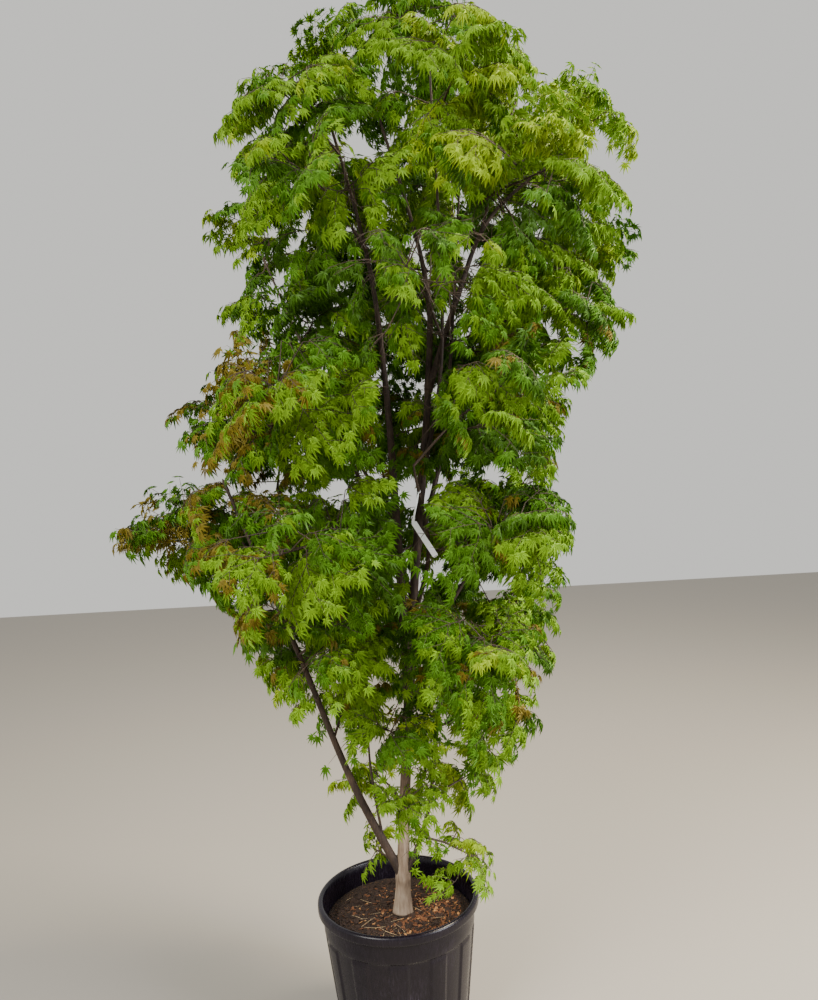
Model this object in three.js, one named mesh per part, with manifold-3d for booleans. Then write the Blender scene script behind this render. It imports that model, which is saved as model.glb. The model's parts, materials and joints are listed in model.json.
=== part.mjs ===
// A Japanese maple in a ribbed black nursery pot, about 2.9 m tall over all. The tree leans a little to the
// right of its pot.
//
// Millimetres, +Z up, the origin at the middle of the pot's flat underside. The side that is usually
// looked at faces -Y. The trunk stands on the potting soil and runs up through the crown; the boughs
// leave it, each one tapering limb, and every mass of foliage grows from a stem on the limb that
// passes through the mass's own share of the crown.

import * as THREE from "three";
import { ConvexGeometry } from "three/addons/geometries/ConvexGeometry.js";
import { mergeVertices } from "three/addons/utils/BufferGeometryUtils.js";
import Module from "manifold-3d";

const wasm = await Module();
wasm.setup();

// The pot: a blow-moulded tub with a rolled rim, a plain band and raised ribs under it.
const POT_HEIGHT = 380;
const POT_FOOT_RADIUS = 170;
const POT_BAND_RADIUS = 212;
const POT_RIM_RADIUS = 225;
const POT_RIM_DEPTH = 27;
const POT_RIM_ROUND = 8;
const POT_RIM_LIP = 16; // the breadth of the rim's rolled top
const POT_WALL = 4;
const POT_FLOOR = 5;
const POT_SIDES = 32;
const RIB_COUNT = 12;
const RIB_TOP = 299;
const RIB_FOOT = 22;
const RIB_CHAMFER = 5;
const RIB_PROUD = 4;
const RIB_SHARE = 0.45; // of the pitch from rib to rib
const DRAIN_COUNT = 6;
const DRAIN_WIDTH = 34;
const DRAIN_HEIGHT = 13;
const DRAIN_DEEP = 60; // how far its cutter reaches, well past the wall

// The soil, filled to a hand's breadth under the rim, lies a hair clear of the pot's wall.
const SOIL_TOP = 325;
const SOIL_EDGE_DROP = 7;
const SOIL_FLAT_RADIUS = 62;
const SOIL_SHOULDER = 0.6; // where the fall to the edge begins, as a share of the radius
const CLEAR = 0.3;
const FACE_TOLERANCE = 0.05; // faces that differ by less are made one

// Limbs. Each leaves its parent at the height `at`, runs through its bends and tapers to its tip.
// `r` is the radius at the foot and at the tip.
const LIMB_SIDES = [8, 6]; // of a stout one and of a slender one
const STOUT = 8;
const LIMB_STEP = 135; // the length of one straight stretch
const LIMB_SAMPLES = 60;
const ROOT_FLARE = 11;
const ROOT_FLARE_HEIGHT = 62;
const LIMBS = {
  trunk: {
    foot: [10, 0, SOIL_TOP + CLEAR], bends: [[32, 0, 625], [92, 0, 1230], [165, 0, 1810], [168, 25, 2135]],
    tip: [50, 90, 2655], r: [18, 3.5],
  },
  leader_left: {
    parent: "trunk", at: 935, bends: [[54, -45, 1435], [46, -60, 1785], [14, -80, 2150]],
    tip: [-98, -110, 2640], r: [13.5, 3],
  },
  leader_back: { parent: "trunk", at: 1315, bends: [[212, 130, 1700]], tip: [308, 245, 2485], r: [9, 3] },
  bough_right: {
    parent: "trunk", at: 1780, bends: [[257, -20, 2030], [358, -30, 2240]],
    tip: [568, -45, 2405], r: [9.5, 3],
  },
  bough_right_top: {
    parent: "bough_right", at: 2205, bends: [[392, 25, 2415]],
    tip: [466, 70, 2610], r: [5, 2.5],
  },
  bough_left_low: {
    parent: "trunk", at: 420, bends: [[-108, -35, 710], [-235, -80, 1100]],
    tip: [-398, -110, 1560], r: [12.5, 4],
  },
  bough_left_mid: {
    parent: "leader_left", at: 1265, bends: [[-123, -75, 1780]],
    tip: [-270, -60, 2165], r: [6, 2.5],
  },
  bough_left_back: {
    parent: "leader_left", at: 1030, bends: [[-117, 110, 1270]],
    tip: [-311, 220, 1535], r: [6.5, 3],
  },
  bough_right_mid: {
    parent: "trunk", at: 1005, bends: [[235, -30, 1250]],
    tip: [408, -50, 1510], r: [8, 3],
  },
  bough_front: {
    parent: "trunk", at: 1130, bends: [[135, -150, 1340]],
    tip: [107, -340, 1560], r: [7.5, 3],
  },
  bough_back: {
    parent: "trunk", at: 1190, bends: [[36, 160, 1410]],
    tip: [0, 350, 1695], r: [7.5, 3],
  },
  bough_left_rear: {
    parent: "leader_left", at: 1415, bends: [[-85, 70, 1690]],
    tip: [-136, 215, 2020], r: [5.5, 2.5],
  },
  leader_front: {
    parent: "trunk", at: 1500, bends: [[203, -125, 1900]],
    tip: [204, -215, 2610], r: [6.5, 2.5],
  },
  shoot_left_low: {
    parent: "bough_left_low", at: 530, bends: [[-55, -55, 780]],
    tip: [-46, -75, 1050], r: [4, 2],
  },
  shoot_right_low: {
    parent: "trunk", at: 400, bends: [[98, -30, 620], [138, -45, 875]],
    tip: [210, -60, 1105], r: [7, 3],
  },
};

// The crown, tier by tier: the tier's middle height, half its height, how far it reaches to each side
// of the crown's axis, how many masses share it, the turn of the first one, and the share of its
// twigs that are missing on the left, where the sky shows through.
const CROWN_AXIS = [10, 0];
const CROWN_LEAN = 0.056; // how far the axis runs to the right for each millimetre of height
const TIERS = {
  tip: { z: 2690, half: 225, left: 325, right: 410, front: 320, back: 320, count: 3, turn: 35, sky: 0 },
  top: { z: 2430, half: 238, left: 555, right: 680, front: 480, back: 470, count: 5, turn: 0, sky: 0 },
  upper: { z: 2175, half: 245, left: 600, right: 720, front: 550, back: 530, count: 5, turn: 20, sky: 0.25 },
  shoulder: { z: 1915, half: 243, left: 495, right: 570, front: 590, back: 570, count: 5, turn: -12, sky: 0.3 },
  middle: { z: 1660, half: 240, left: 740, right: 460, front: 605, back: 585, count: 5, turn: 14, sky: 0 },
  waist: { z: 1410, half: 235, left: 830, right: 470, front: 610, back: 590, count: 6, turn: 0, sky: 0 },
  lower: { z: 1160, half: 225, left: 560, right: 465, front: 515, back: 495, count: 5, turn: 10, sky: 0 },
  skirt: { z: 910, half: 190, left: 350, right: 385, front: 350, back: 330, count: 4, turn: -20, sky: 0 },
  hem: { z: 690, half: 170, left: 225, right: 295, front: 245, back: 235, count: 3, turn: 15, sky: 0 },
  foot: { z: 500, half: 130, left: 150, right: 265, front: 180, back: 160, count: 2, turn: -5, sky: 0 },
};
const DIRECTIONS = [
  "right", "back_right", "back", "back_left", "left", "front_left", "front", "front_right",
];
const MASS_OUT = 0.56; // a mass's middle, as a share of the tier's reach
const MASS_DEEP = 0.52; // half its length along the reach, as a share of it
const MASS_BROAD = 1.35; // its breadth, over an even share of the ring
const MASS_RAGGED = 45; // how far a mass's middle strays up or down from the tier's
const MASS_GAP = 5; // between two masses
const FOLIAGE_FLOOR = 400; // no leaf hangs lower, so that the pot's rim stays clear

// Twigs and leaves of one mass. A solid leaf stands for a flat spray of real ones.
const STEM_LOW = 40; // how far below its mass's middle a stem rather leaves its limb
const STEM_RISE = 0.06;
const STEM_RADIUS = [6, 3.4];
const STEM_SIDES = 3;
const STEM_SHORT = 0.6; // how far inside the space's edge it ends, in leaf lengths
const STEM_BEYOND = 20; // but at least so far beyond the space's middle
const STEM_LEAF = 0.97; // where the leaf at its tip grows
const STEM_SPAN = [0.2, 0.92]; // where the first and the last twig leave the stem
const TWIG_RADIUS = 1.6;
const TWIG_CORNERS = [[-1, -0.5], [0, 1], [1, -0.5]]; // left, top and right, in radii
const TWIG_LEAST = 16;
const TWIG_SHORT = 0.95; // how far inside the space's edge it ends, in leaf lengths
const TWIG_SWAY = [0.3, 14]; // the chance turn, in radians, and the chance lift, in degrees
const TWIG_SPREAD = [95, 40]; // degrees off the stem, near its foot and near its tip
const TWIG_LIFTS = [16, -20, 40, 2, -34, 28, -8, 48]; // degrees above the level, in turn
const TWIG_TURNS = 16; // the places along the stem that are tried
const TWIG_STRIDE = 0.143; // from one place to the next, as a share of the stem's span
const LEAF_LENGTH = 225;
const LEAF_SIZES = [1, 0.88, 0.76, 0.64, 0.54];
const LEAF_TRIES = 6;
const LEAF_LEAST = 4.4; // in one mass, before its size is counted
const LEAF_SHARE = 31000; // one more for this much of its half length times its half breadth
const LEAF_TURN = 1.1; // how far a leaf turns off its twig's heading
const LEAF_DROOP = [0.45, -0.75]; // its rise at most and at least
const LEAF_FACE = [0.4, 1.6]; // how far it faces out of the crown
const LEAF_ROLL = 1.4;
const LEAF_HUB = 0.36; // from the leaf's root to the point its lobes spread from
const LEAF_NOTCH = 0.2;
const LEAF_LOBES = [[-100, 0.4], [-50, 0.58], [0, 0.64], [50, 0.58], [100, 0.4]]; // degrees, length
const SMALL_LOBES = [[-68, 0.48], [0, 0.64], [68, 0.48]];
const SMALL_LEAF = 0.6; // leaves of this size and less have three lobes
const LOBE_LEAST = 0.6; // a lobe may be cut down to this share by the edge of its space
const LOBE_MARGIN = 2; // between a lobe's tip and that edge
const LOBE_SPOTS = [1 / 3, 2 / 3, 1]; // the spots along a lobe that are tested
const LEAF_CUP = 0.12;
const LEAF_THICKNESS = 0.034;
const LEAF_APART = 0.17; // between two leaves, in leaf lengths
const TWIG_APART = 0.1; // between a leaf and another's twig
const TWIG_SPOTS = 20; // from one tested spot on a twig to the next
const LEAF_TO_LIMB = 18; // between a leaf and a limb's bark

const UP = new THREE.Vector3(0, 0, 1);
const vec = (p) => new THREE.Vector3(p[0], p[1], p[2]);
const radians = THREE.MathUtils.degToRad;

// A small repeatable random number source, from 0 to 1.
function randomFrom(seed) {
  let state = (seed * 2654435761) >>> 0;
  return () => {
    state = (Math.imul(state, 1664525) + 1013904223) >>> 0;
    return state / 4294967296;
  };
}

// A closed three.js geometry as a solid.
function solidOf(geometry) {
  const bare = new THREE.BufferGeometry().setAttribute("position", geometry.getAttribute("position"));
  bare.setIndex(geometry.getIndex());
  const merged = mergeVertices(bare, 1e-4);
  const corners = [];
  const index = merged.getIndex().array;
  for (let i = 0; i < index.length; i += 3) {
    const [a, b, c] = [index[i], index[i + 1], index[i + 2]];
    if (a !== b && b !== c && c !== a) corners.push(a, b, c);
  }
  const vertProperties = new Float32Array(merged.getAttribute("position").array);
  const triVerts = new Uint32Array(corners);
  return new wasm.Manifold(new wasm.Mesh({ numProp: 3, vertProperties, triVerts }));
}

function geometryOf(solid) {
  const made = solid.getMesh();
  const geometry = new THREE.BufferGeometry();
  geometry.setAttribute("position", new THREE.BufferAttribute(new Float32Array(made.vertProperties), 3));
  geometry.setIndex(new THREE.BufferAttribute(new Uint32Array(made.triVerts), 1));
  geometry.computeVertexNormals();
  return geometry;
}

// The largest piece of a solid, without loose scraps and with any sealed hollow filled.
function mainPiece(solid) {
  return solid.decompose().reduce((best, piece) => (piece.volume() > best.volume() ? piece : best));
}

// A round bar of changing radius along a curve, closed at both ends, which may run a little past them.
function barAlong(curve, radiusAt, sides, steps, past = 0) {
  const profile = [new THREE.Vector2(0, 0)];
  for (let i = 0; i <= steps; i++) profile.push(new THREE.Vector2(radiusAt(i / steps), i / steps));
  if (profile[steps + 1].x > 0) profile.push(new THREE.Vector2(0, 1));
  const geometry = new THREE.LatheGeometry(profile, sides);
  const frames = [];
  let across = new THREE.Vector3(1, 0, 0);
  for (let i = 0; i <= steps; i++) {
    const along = curve.getTangent(i / steps);
    across = across.clone().addScaledVector(along, -across.dot(along)).normalize();
    const point = curve.getPoint(i / steps);
    if (i === 0) point.addScaledVector(along, -past);
    if (i === steps) point.addScaledVector(along, past);
    frames.push({ point, across, other: new THREE.Vector3().crossVectors(along, across) });
  }
  const position = geometry.getAttribute("position");
  for (let i = 0; i < position.count; i++) {
    const frame = frames[Math.round(position.getY(i) * steps)];
    const bent = frame.point.clone()
      .addScaledVector(frame.across, -position.getX(i))
      .addScaledVector(frame.other, position.getZ(i));
    position.setXYZ(i, bent.x, bent.y, bent.z);
  }
  return geometry;
}

// A line with one bend in its middle, to be used as a curve.
function bentLine(foot, joint, tip) {
  const halves = [new THREE.LineCurve3(foot, joint), new THREE.LineCurve3(joint, tip)];
  return {
    getPoint: (t) => (t < 0.5 ? halves[0].getPoint(2 * t) : halves[1].getPoint(2 * t - 1)),
    getTangent: (t) => {
      if (t === 0.5) return tip.clone().sub(foot).normalize();
      return halves[t < 0.5 ? 0 : 1].getTangent(0);
    },
  };
}

// Limbs, each cut clear of those that were made before it.
function pointAtHeight(curve, z) {
  let [low, high] = [0, 1];
  for (let i = 0; i < 40; i++) {
    const middle = (low + high) / 2;
    if (curve.getPoint(middle).z < z) low = middle;
    else high = middle;
  }
  return curve.getPoint(low);
}

function makeLimbs() {
  const limbs = {};
  for (const [name, spec] of Object.entries(LIMBS)) {
    const foot = spec.parent ? pointAtHeight(limbs[spec.parent].curve, spec.at) : vec(spec.foot);
    const points = [foot, ...spec.bends.map(vec), vec(spec.tip)];
    const curve = new THREE.CatmullRomCurve3(points, false, "catmullrom");
    const radiusAt = (t) => {
      const rise = curve.getPoint(t).z - foot.z;
      const flare = spec.parent ? 0 : ROOT_FLARE * Math.exp(-rise / ROOT_FLARE_HEIGHT);
      return THREE.MathUtils.lerp(spec.r[0], spec.r[1], t) + flare;
    };
    const steps = Math.round(curve.getLength() / LIMB_STEP);
    const sides = LIMB_SIDES[spec.r[0] > STOUT ? 0 : 1];
    const bar = (extra) => solidOf(barAlong(curve, (t) => radiusAt(t) + extra, sides, steps, extra));
    let solid = bar(0);
    for (const other of Object.values(limbs)) solid = solid.subtract(other.fat);
    if (!spec.parent) {
      // The trunk is cut flat where it stands on the soil.
      solid = solid.trimByPlane([0, 0, 1], foot.z);
    }
    const spots = Array.from({ length: LIMB_SAMPLES }, (_, i) => {
      const t = (i + 1) / LIMB_SAMPLES;
      return { point: curve.getPoint(t), apart: radiusAt(t) + LEAF_TO_LIMB };
    });
    limbs[name] = { curve, spots, solid: mainPiece(solid.simplify(FACE_TOLERANCE)), fat: bar(CLEAR) };
  }
  return limbs;
}

// The masses' places, ring by ring.
function placeMasses() {
  const masses = [];
  for (const [tier, t] of Object.entries(TIERS)) {
    for (let i = 0; i < t.count; i++) {
      const random = randomFrom(masses.length + 11);
      const angle = radians(t.turn + (360 * i) / t.count);
      const out = new THREE.Vector3(Math.cos(angle), Math.sin(angle), 0);
      const reachX = out.x * (out.x > 0 ? t.right : t.left);
      const reach = Math.hypot(reachX, out.y * (out.y > 0 ? t.back : t.front));
      const height = t.z + MASS_RAGGED * (2 * random() - 1);
      const axis = new THREE.Vector3(CROWN_AXIS[0] + CROWN_LEAN * height, CROWN_AXIS[1], height);
      const middle = axis.addScaledVector(out, reach * MASS_OUT);
      const direction = DIRECTIONS[((Math.round(angle / (Math.PI / 4)) % 8) + 8) % 8];
      masses.push({
        name: `foliage_${tier}_${direction}`,
        seed: masses.length + 101,
        middle,
        out,
        side: new THREE.Vector3(-out.y, out.x, 0),
        half: [reach * MASS_DEEP, reach * MASS_OUT * Math.sin(Math.PI / t.count) * MASS_BROAD, t.half],
        bare: t.sky * Math.max(0, -out.x),
      });
    }
  }
  for (const mass of masses) {
    mass.walls = masses.filter((other) => other !== mass).map((other) => {
      const normal = other.middle.clone().sub(mass.middle).normalize();
      const edge = other.middle.clone().add(mass.middle).multiplyScalar(0.5).dot(normal) - MASS_GAP / 2;
      return { normal, edge };
    });
    mass.walls.push({ normal: new THREE.Vector3(0, 0, -1), edge: -FOLIAGE_FLOOR });
  }
  return masses;
}

// How far a ray from a point inside a mass's space runs before it leaves it, or 0 from outside it.
function roomAlong(mass, from, direction) {
  const p = from.clone().sub(mass.middle);
  const axes = [mass.out, mass.side, UP];
  const start = axes.map((axis, i) => p.dot(axis) / mass.half[i]);
  const step = axes.map((axis, i) => direction.dot(axis) / mass.half[i]);
  const dot = (a, b) => a[0] * b[0] + a[1] * b[1] + a[2] * b[2];
  const [a, b, c] = [dot(step, step), dot(start, step), dot(start, start) - 1];
  if (c > 0) return 0;
  let room = (-b + Math.sqrt(b * b - a * c)) / a;
  for (const { normal, edge } of mass.walls) {
    const left = edge - from.dot(normal);
    if (left < 0) return 0;
    const closing = direction.dot(normal);
    if (closing > 0) room = Math.min(room, left / closing);
  }
  return room;
}

const isInside = (mass, point) => roomAlong(mass, point, UP) > 0;
const isNear = (points, spots) =>
  points.some((p) => spots.some(({ point, apart }) => p.distanceTo(point) < apart));

// Where a mass's stem leaves a limb: near the mass's middle and rather below it, in its own space.
function attachMass(mass, limbs) {
  let best = null;
  for (const limb of Object.values(limbs)) {
    for (const { point } of limb.spots) {
      if (!mass.walls.every(({ normal, edge }) => point.dot(normal) < edge)) continue;
      const cost = point.distanceTo(mass.middle) + Math.max(0, point.z - mass.middle.z + STEM_LOW);
      if (!best || cost < best.cost) best = { cost, point };
    }
  }
  if (!best) throw new Error(`no limb passes through ${mass.name}`);
  return best.point;
}

// One leaf on its three-sided twig: lobes that spread from a hub and droop towards their tips, each as
// long as its space allows. Returns null where a lobe has too little room.
function leafOnTwig(mass, from, direction, twig, along, face, length) {
  const lobes = length <= SMALL_LEAF * LEAF_LENGTH ? SMALL_LOBES : LEAF_LOBES;
  const across = new THREE.Vector3().crossVectors(face, along).normalize();
  const normal = new THREE.Vector3().crossVectors(along, across).normalize();
  const lift = new THREE.Vector3().crossVectors(direction, across).normalize();
  const root = from.clone().addScaledVector(direction, twig);
  const hub = root.clone().addScaledVector(along, LEAF_HUB * length);
  const ray = (degrees, sag) => along.clone().multiplyScalar(Math.cos(radians(degrees)))
    .addScaledVector(across, Math.sin(radians(degrees))).addScaledVector(normal, -sag).normalize();
  const ring = (at, up) => TWIG_CORNERS.map(([u, v]) =>
    at.clone().addScaledVector(across, u * TWIG_RADIUS).addScaledVector(up, v * TWIG_RADIUS));
  const [footLeft, footTop, footRight] = ring(from, lift);
  const [left, top, right] = ring(root, normal);
  const outline = [left];
  const spots = [hub];
  for (let i = 0; i < lobes.length; i++) {
    const [degrees, share] = lobes[i];
    const out = ray(degrees, 2 * LEAF_CUP);
    const reach = Math.min(share * length, roomAlong(mass, hub, out) - LOBE_MARGIN);
    if (reach < share * LOBE_LEAST * length) return null;
    if (i > 0) {
      const between = (degrees + lobes[i - 1][0]) / 2;
      outline.push(hub.clone().addScaledVector(ray(between, LEAF_CUP), LEAF_NOTCH * length));
    }
    outline.push(hub.clone().addScaledVector(out, reach));
    for (const part of LOBE_SPOTS) spots.push(hub.clone().addScaledVector(out, reach * part));
  }
  outline.push(right);
  const above = hub.clone().addScaledVector(normal, LEAF_THICKNESS * length * 0.5);
  const below = hub.clone().addScaledVector(normal, -LEAF_THICKNESS * length * 0.5);
  const corners = [...outline, top, above, below, footLeft, footTop, footRight];
  if (!corners.every((p) => isInside(mass, p))) return null;
  const last = outline.length - 1;
  const [over, hubOver, hubUnder, baseLeft, baseTop, baseRight] = [1, 2, 3, 4, 5, 6].map((i) => last + i);
  const faces = outline.slice(1).flatMap((_, i) => [hubOver, i, i + 1, hubUnder, i + 1, i]);
  faces.push(hubOver, last, over, hubOver, over, 0, hubUnder, 0, last);
  faces.push(baseLeft, baseTop, baseRight, 0, baseLeft, baseRight, 0, baseRight, last);
  faces.push(0, over, baseTop, 0, baseTop, baseLeft, last, baseRight, baseTop, last, baseTop, over);
  const geometry = new THREE.BufferGeometry().setFromPoints(corners);
  geometry.setIndex(faces);
  return { geometry, outline, spots, root };
}

// The twigs and leaves of one mass, by a seeded rule: a stem that crosses the space, and twigs with a
// leaf each that leave it by turns on both hands, from its tip inwards. A leaf that would leave the
// space, or come too near a limb, a twig or another leaf, is turned, made smaller, then left out.
function growMass(mass, foot, limbs) {
  const random = randomFrom(mass.seed);
  const heading = mass.middle.clone().sub(foot).normalize();
  const beyond = roomAlong(mass, mass.middle, heading) - STEM_SHORT * LEAF_LENGTH;
  const tip = mass.middle.clone().addScaledVector(heading, Math.max(beyond, STEM_BEYOND));
  const joint = foot.clone().lerp(tip, 0.5).addScaledVector(UP, STEM_RISE * foot.distanceTo(tip));
  const stem = bentLine(foot, joint, tip);
  const pieces = [solidOf(barAlong(stem, (t) => THREE.MathUtils.lerp(...STEM_RADIUS, t), STEM_SIDES, 2))];
  const blades = [];
  const lines = [];
  const alongLine = (pointAt, length) => {
    const count = Math.ceil(length / TWIG_SPOTS);
    return Array.from({ length: count }, (_, i) => pointAt((i + 1) / count));
  };
  const within = (points, apart) => points.map((point) => ({ point, apart }));
  lines.push(...alongLine(stem.getPoint, foot.distanceTo(joint) + joint.distanceTo(tip)));

  const most = Math.round(LEAF_LEAST + (mass.half[0] * mass.half[1]) / LEAF_SHARE);
  let leaves = 0;
  const addLeaf = (from, direction) => {
    const side = new THREE.Vector3().crossVectors(UP, direction).normalize();
    const room = roomAlong(mass, from, direction);
    for (const size of LEAF_SIZES) {
      const length = LEAF_LENGTH * size;
      const twig = Math.max(TWIG_LEAST, room - TWIG_SHORT * length);
      for (let attempt = 0; attempt < LEAF_TRIES && leaves < most; attempt++) {
        const along = direction.clone().addScaledVector(side, LEAF_TURN * (random() - 0.5));
        along.addScaledVector(UP, THREE.MathUtils.lerp(...LEAF_DROOP, random())).normalize();
        const face = UP.clone().addScaledVector(mass.out, THREE.MathUtils.lerp(...LEAF_FACE, random()));
        face.addScaledVector(mass.side, LEAF_ROLL * (random() - 0.5));
        face.addScaledVector(along, -face.dot(along));
        const leaf = leafOnTwig(mass, from, direction, twig, along, face, length);
        if (!leaf || touchesLimb(leaf.outline, limbs)) continue;
        const line = alongLine((t) => from.clone().lerp(leaf.root, t), twig);
        if (isNear(leaf.spots, within(blades, LEAF_APART * length))) continue;
        if (isNear(leaf.spots, within(lines, TWIG_APART * length))) continue;
        if (isNear(line, within(blades, TWIG_APART * length))) continue;
        pieces.push(solidOf(leaf.geometry));
        blades.push(...leaf.spots);
        lines.push(...line);
        leaves += 1;
        return;
      }
    }
  };

  addLeaf(stem.getPoint(STEM_LEAF), stem.getTangent(1));
  for (let k = 0; k < TWIG_TURNS; k++) {
    const t = THREE.MathUtils.lerp(STEM_SPAN[1], STEM_SPAN[0], (k * TWIG_STRIDE) % 1);
    const hand = k % 2 ? 1 : -1;
    const spread = radians(THREE.MathUtils.lerp(...TWIG_SPREAD, t)) + TWIG_SWAY[0] * (random() - 0.5);
    const direction = stem.getTangent(t).setZ(0).normalize().applyAxisAngle(UP, hand * spread);
    const lift = TWIG_LIFTS[k % TWIG_LIFTS.length] + TWIG_SWAY[1] * (random() - 0.5);
    direction.setZ(Math.tan(radians(lift))).normalize();
    if (random() >= mass.bare) addLeaf(stem.getPoint(t), direction);
  }

  let solid = wasm.Manifold.union(pieces);
  for (const limb of Object.values(limbs)) solid = solid.subtract(limb.fat);
  return mainPiece(solid.simplify(FACE_TOLERANCE));
}

// Whether a leaf comes too near a limb, at its outline or half way in from it.
function touchesLimb(outline, limbs) {
  const points = outline.flatMap((p, i) => [
    p, p.clone().lerp(outline[0], 0.5), p.clone().lerp(outline[(i + 1) % outline.length], 0.5),
  ]);
  return Object.values(limbs).some(({ spots }) => isNear(points, spots));
}

// The pot: one lathe-turned shell, with ribs joined on and drain notches cut into its foot.
const POT_UNDER_RIM = POT_HEIGHT - POT_RIM_DEPTH;
const potWallAt = (z) => THREE.MathUtils.lerp(POT_FOOT_RADIUS, POT_BAND_RADIUS, z / POT_UNDER_RIM);

// A solid turned about the upright axis from [radius, height] pairs.
function turned(outline) {
  const profile = outline.map(([r, z]) => new THREE.Vector2(r, z));
  return solidOf(new THREE.LatheGeometry(profile, POT_SIDES).rotateX(Math.PI / 2));
}

function makePot() {
  const band = potWallAt(RIB_TOP);
  const shell = turned([
    [0, 0], [POT_FOOT_RADIUS, 0], [band, RIB_TOP], [band + RIB_PROUD, RIB_TOP + RIB_PROUD],
    [POT_BAND_RADIUS, POT_UNDER_RIM], [POT_RIM_RADIUS, POT_UNDER_RIM + POT_WALL],
    [POT_RIM_RADIUS, POT_HEIGHT - POT_RIM_ROUND], [POT_RIM_RADIUS - POT_RIM_ROUND, POT_HEIGHT],
    [POT_RIM_RADIUS - POT_RIM_LIP, POT_HEIGHT - POT_WALL],
    [POT_BAND_RADIUS - POT_WALL, POT_UNDER_RIM - POT_WALL],
    [potWallAt(POT_FLOOR) - POT_WALL, POT_FLOOR], [0, POT_FLOOR],
  ]);
  const pitch = (2 * Math.PI) / RIB_COUNT;
  const ribs = [];
  for (let i = 0; i < RIB_COUNT; i++) {
    const ring = (z, proud) => [-0.5, 0.5].map((hand) => {
      const angle = (i + hand * RIB_SHARE) * pitch;
      const radius = potWallAt(z) + proud;
      return new THREE.Vector3(Math.cos(angle) * radius, Math.sin(angle) * radius, z);
    });
    ribs.push(solidOf(new ConvexGeometry([
      ...ring(RIB_FOOT, RIB_PROUD), ...ring(RIB_TOP - RIB_CHAMFER, RIB_PROUD),
      ...ring(RIB_FOOT - RIB_CHAMFER, -POT_WALL / 2), ...ring(RIB_TOP, -POT_WALL / 2),
    ])));
  }
  const notches = [];
  for (let i = 0; i < DRAIN_COUNT; i++) {
    const notch = new THREE.BoxGeometry(DRAIN_DEEP, DRAIN_WIDTH, 2 * DRAIN_HEIGHT);
    notch.translate(POT_FOOT_RADIUS + DRAIN_DEEP / 2 - POT_WALL, 0, 0);
    notches.push(solidOf(notch.rotateZ(pitch * 0.5 + (2 * Math.PI * i) / DRAIN_COUNT)));
  }
  const pot = wasm.Manifold.union([shell, ...ribs]).subtract(wasm.Manifold.union(notches));
  return mainPiece(pot.simplify(FACE_TOLERANCE));
}

function makeSoil() {
  const gap = POT_WALL + 2 * CLEAR;
  const edge = SOIL_TOP - SOIL_EDGE_DROP;
  return turned([
    [0, POT_FLOOR + CLEAR], [potWallAt(POT_FLOOR) - gap, POT_FLOOR + CLEAR],
    [potWallAt(edge) - gap, edge],
    [SOIL_SHOULDER * potWallAt(edge), SOIL_TOP - 1], [SOIL_FLAT_RADIUS, SOIL_TOP], [0, SOIL_TOP],
  ]);
}

const plastic = new THREE.MeshStandardMaterial({ color: 0x2b2b30, roughness: 0.5, metalness: 0 });
const soil = new THREE.MeshStandardMaterial({ color: 0x3a281c, roughness: 1, metalness: 0 });
const bark = new THREE.MeshStandardMaterial({ color: 0x6f5a4a, roughness: 0.85, metalness: 0 });
const youngBark = new THREE.MeshStandardMaterial({ color: 0x5a4034, roughness: 0.8, metalness: 0 });
const leafGreens = [0x5f9a1c, 0x4b8a1e, 0x86ac25].map(
  (color) => new THREE.MeshStandardMaterial({ color, roughness: 0.6, metalness: 0 }));

const maple = new THREE.Group();
function addNode(name, solid, material) {
  const mesh = new THREE.Mesh(geometryOf(solid), material);
  mesh.name = name;
  maple.add(mesh);
}

addNode("nursery_pot", makePot(), plastic);
addNode("potting_soil", makeSoil(), soil);
const limbs = makeLimbs();
for (const [name, limb] of Object.entries(limbs)) {
  addNode(name, limb.solid, name === "trunk" ? bark : youngBark);
}
placeMasses().forEach((mass, i) => {
  addNode(mass.name, growMass(mass, attachMass(mass, limbs), limbs), leafGreens[i % leafGreens.length]);
});

export default maple;
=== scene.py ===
import json
import math

import bmesh
import bpy
import numpy as np
from mathutils import Matrix, Vector, noise

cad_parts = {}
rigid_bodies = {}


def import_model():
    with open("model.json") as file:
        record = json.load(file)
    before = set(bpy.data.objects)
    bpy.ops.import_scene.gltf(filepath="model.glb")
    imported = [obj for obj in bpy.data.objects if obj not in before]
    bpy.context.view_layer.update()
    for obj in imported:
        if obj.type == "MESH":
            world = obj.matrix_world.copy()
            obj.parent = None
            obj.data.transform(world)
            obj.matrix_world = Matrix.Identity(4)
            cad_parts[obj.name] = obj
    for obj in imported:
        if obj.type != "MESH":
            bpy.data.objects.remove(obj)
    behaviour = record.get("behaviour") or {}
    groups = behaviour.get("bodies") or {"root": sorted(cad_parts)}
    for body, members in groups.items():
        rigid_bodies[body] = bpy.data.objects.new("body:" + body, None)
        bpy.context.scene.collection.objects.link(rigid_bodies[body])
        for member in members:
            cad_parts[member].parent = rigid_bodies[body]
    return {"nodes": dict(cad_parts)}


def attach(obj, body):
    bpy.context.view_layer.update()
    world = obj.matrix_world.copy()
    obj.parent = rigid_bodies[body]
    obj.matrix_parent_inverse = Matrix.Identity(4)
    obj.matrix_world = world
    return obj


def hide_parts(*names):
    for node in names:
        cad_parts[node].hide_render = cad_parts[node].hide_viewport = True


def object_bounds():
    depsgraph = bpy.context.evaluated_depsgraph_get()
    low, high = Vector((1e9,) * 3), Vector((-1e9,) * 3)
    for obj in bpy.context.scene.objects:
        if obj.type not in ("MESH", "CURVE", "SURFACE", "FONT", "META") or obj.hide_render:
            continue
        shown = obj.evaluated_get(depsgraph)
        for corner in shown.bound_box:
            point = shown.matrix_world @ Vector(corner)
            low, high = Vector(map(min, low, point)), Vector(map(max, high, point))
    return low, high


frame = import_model()
CAD_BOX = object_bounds()
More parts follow.
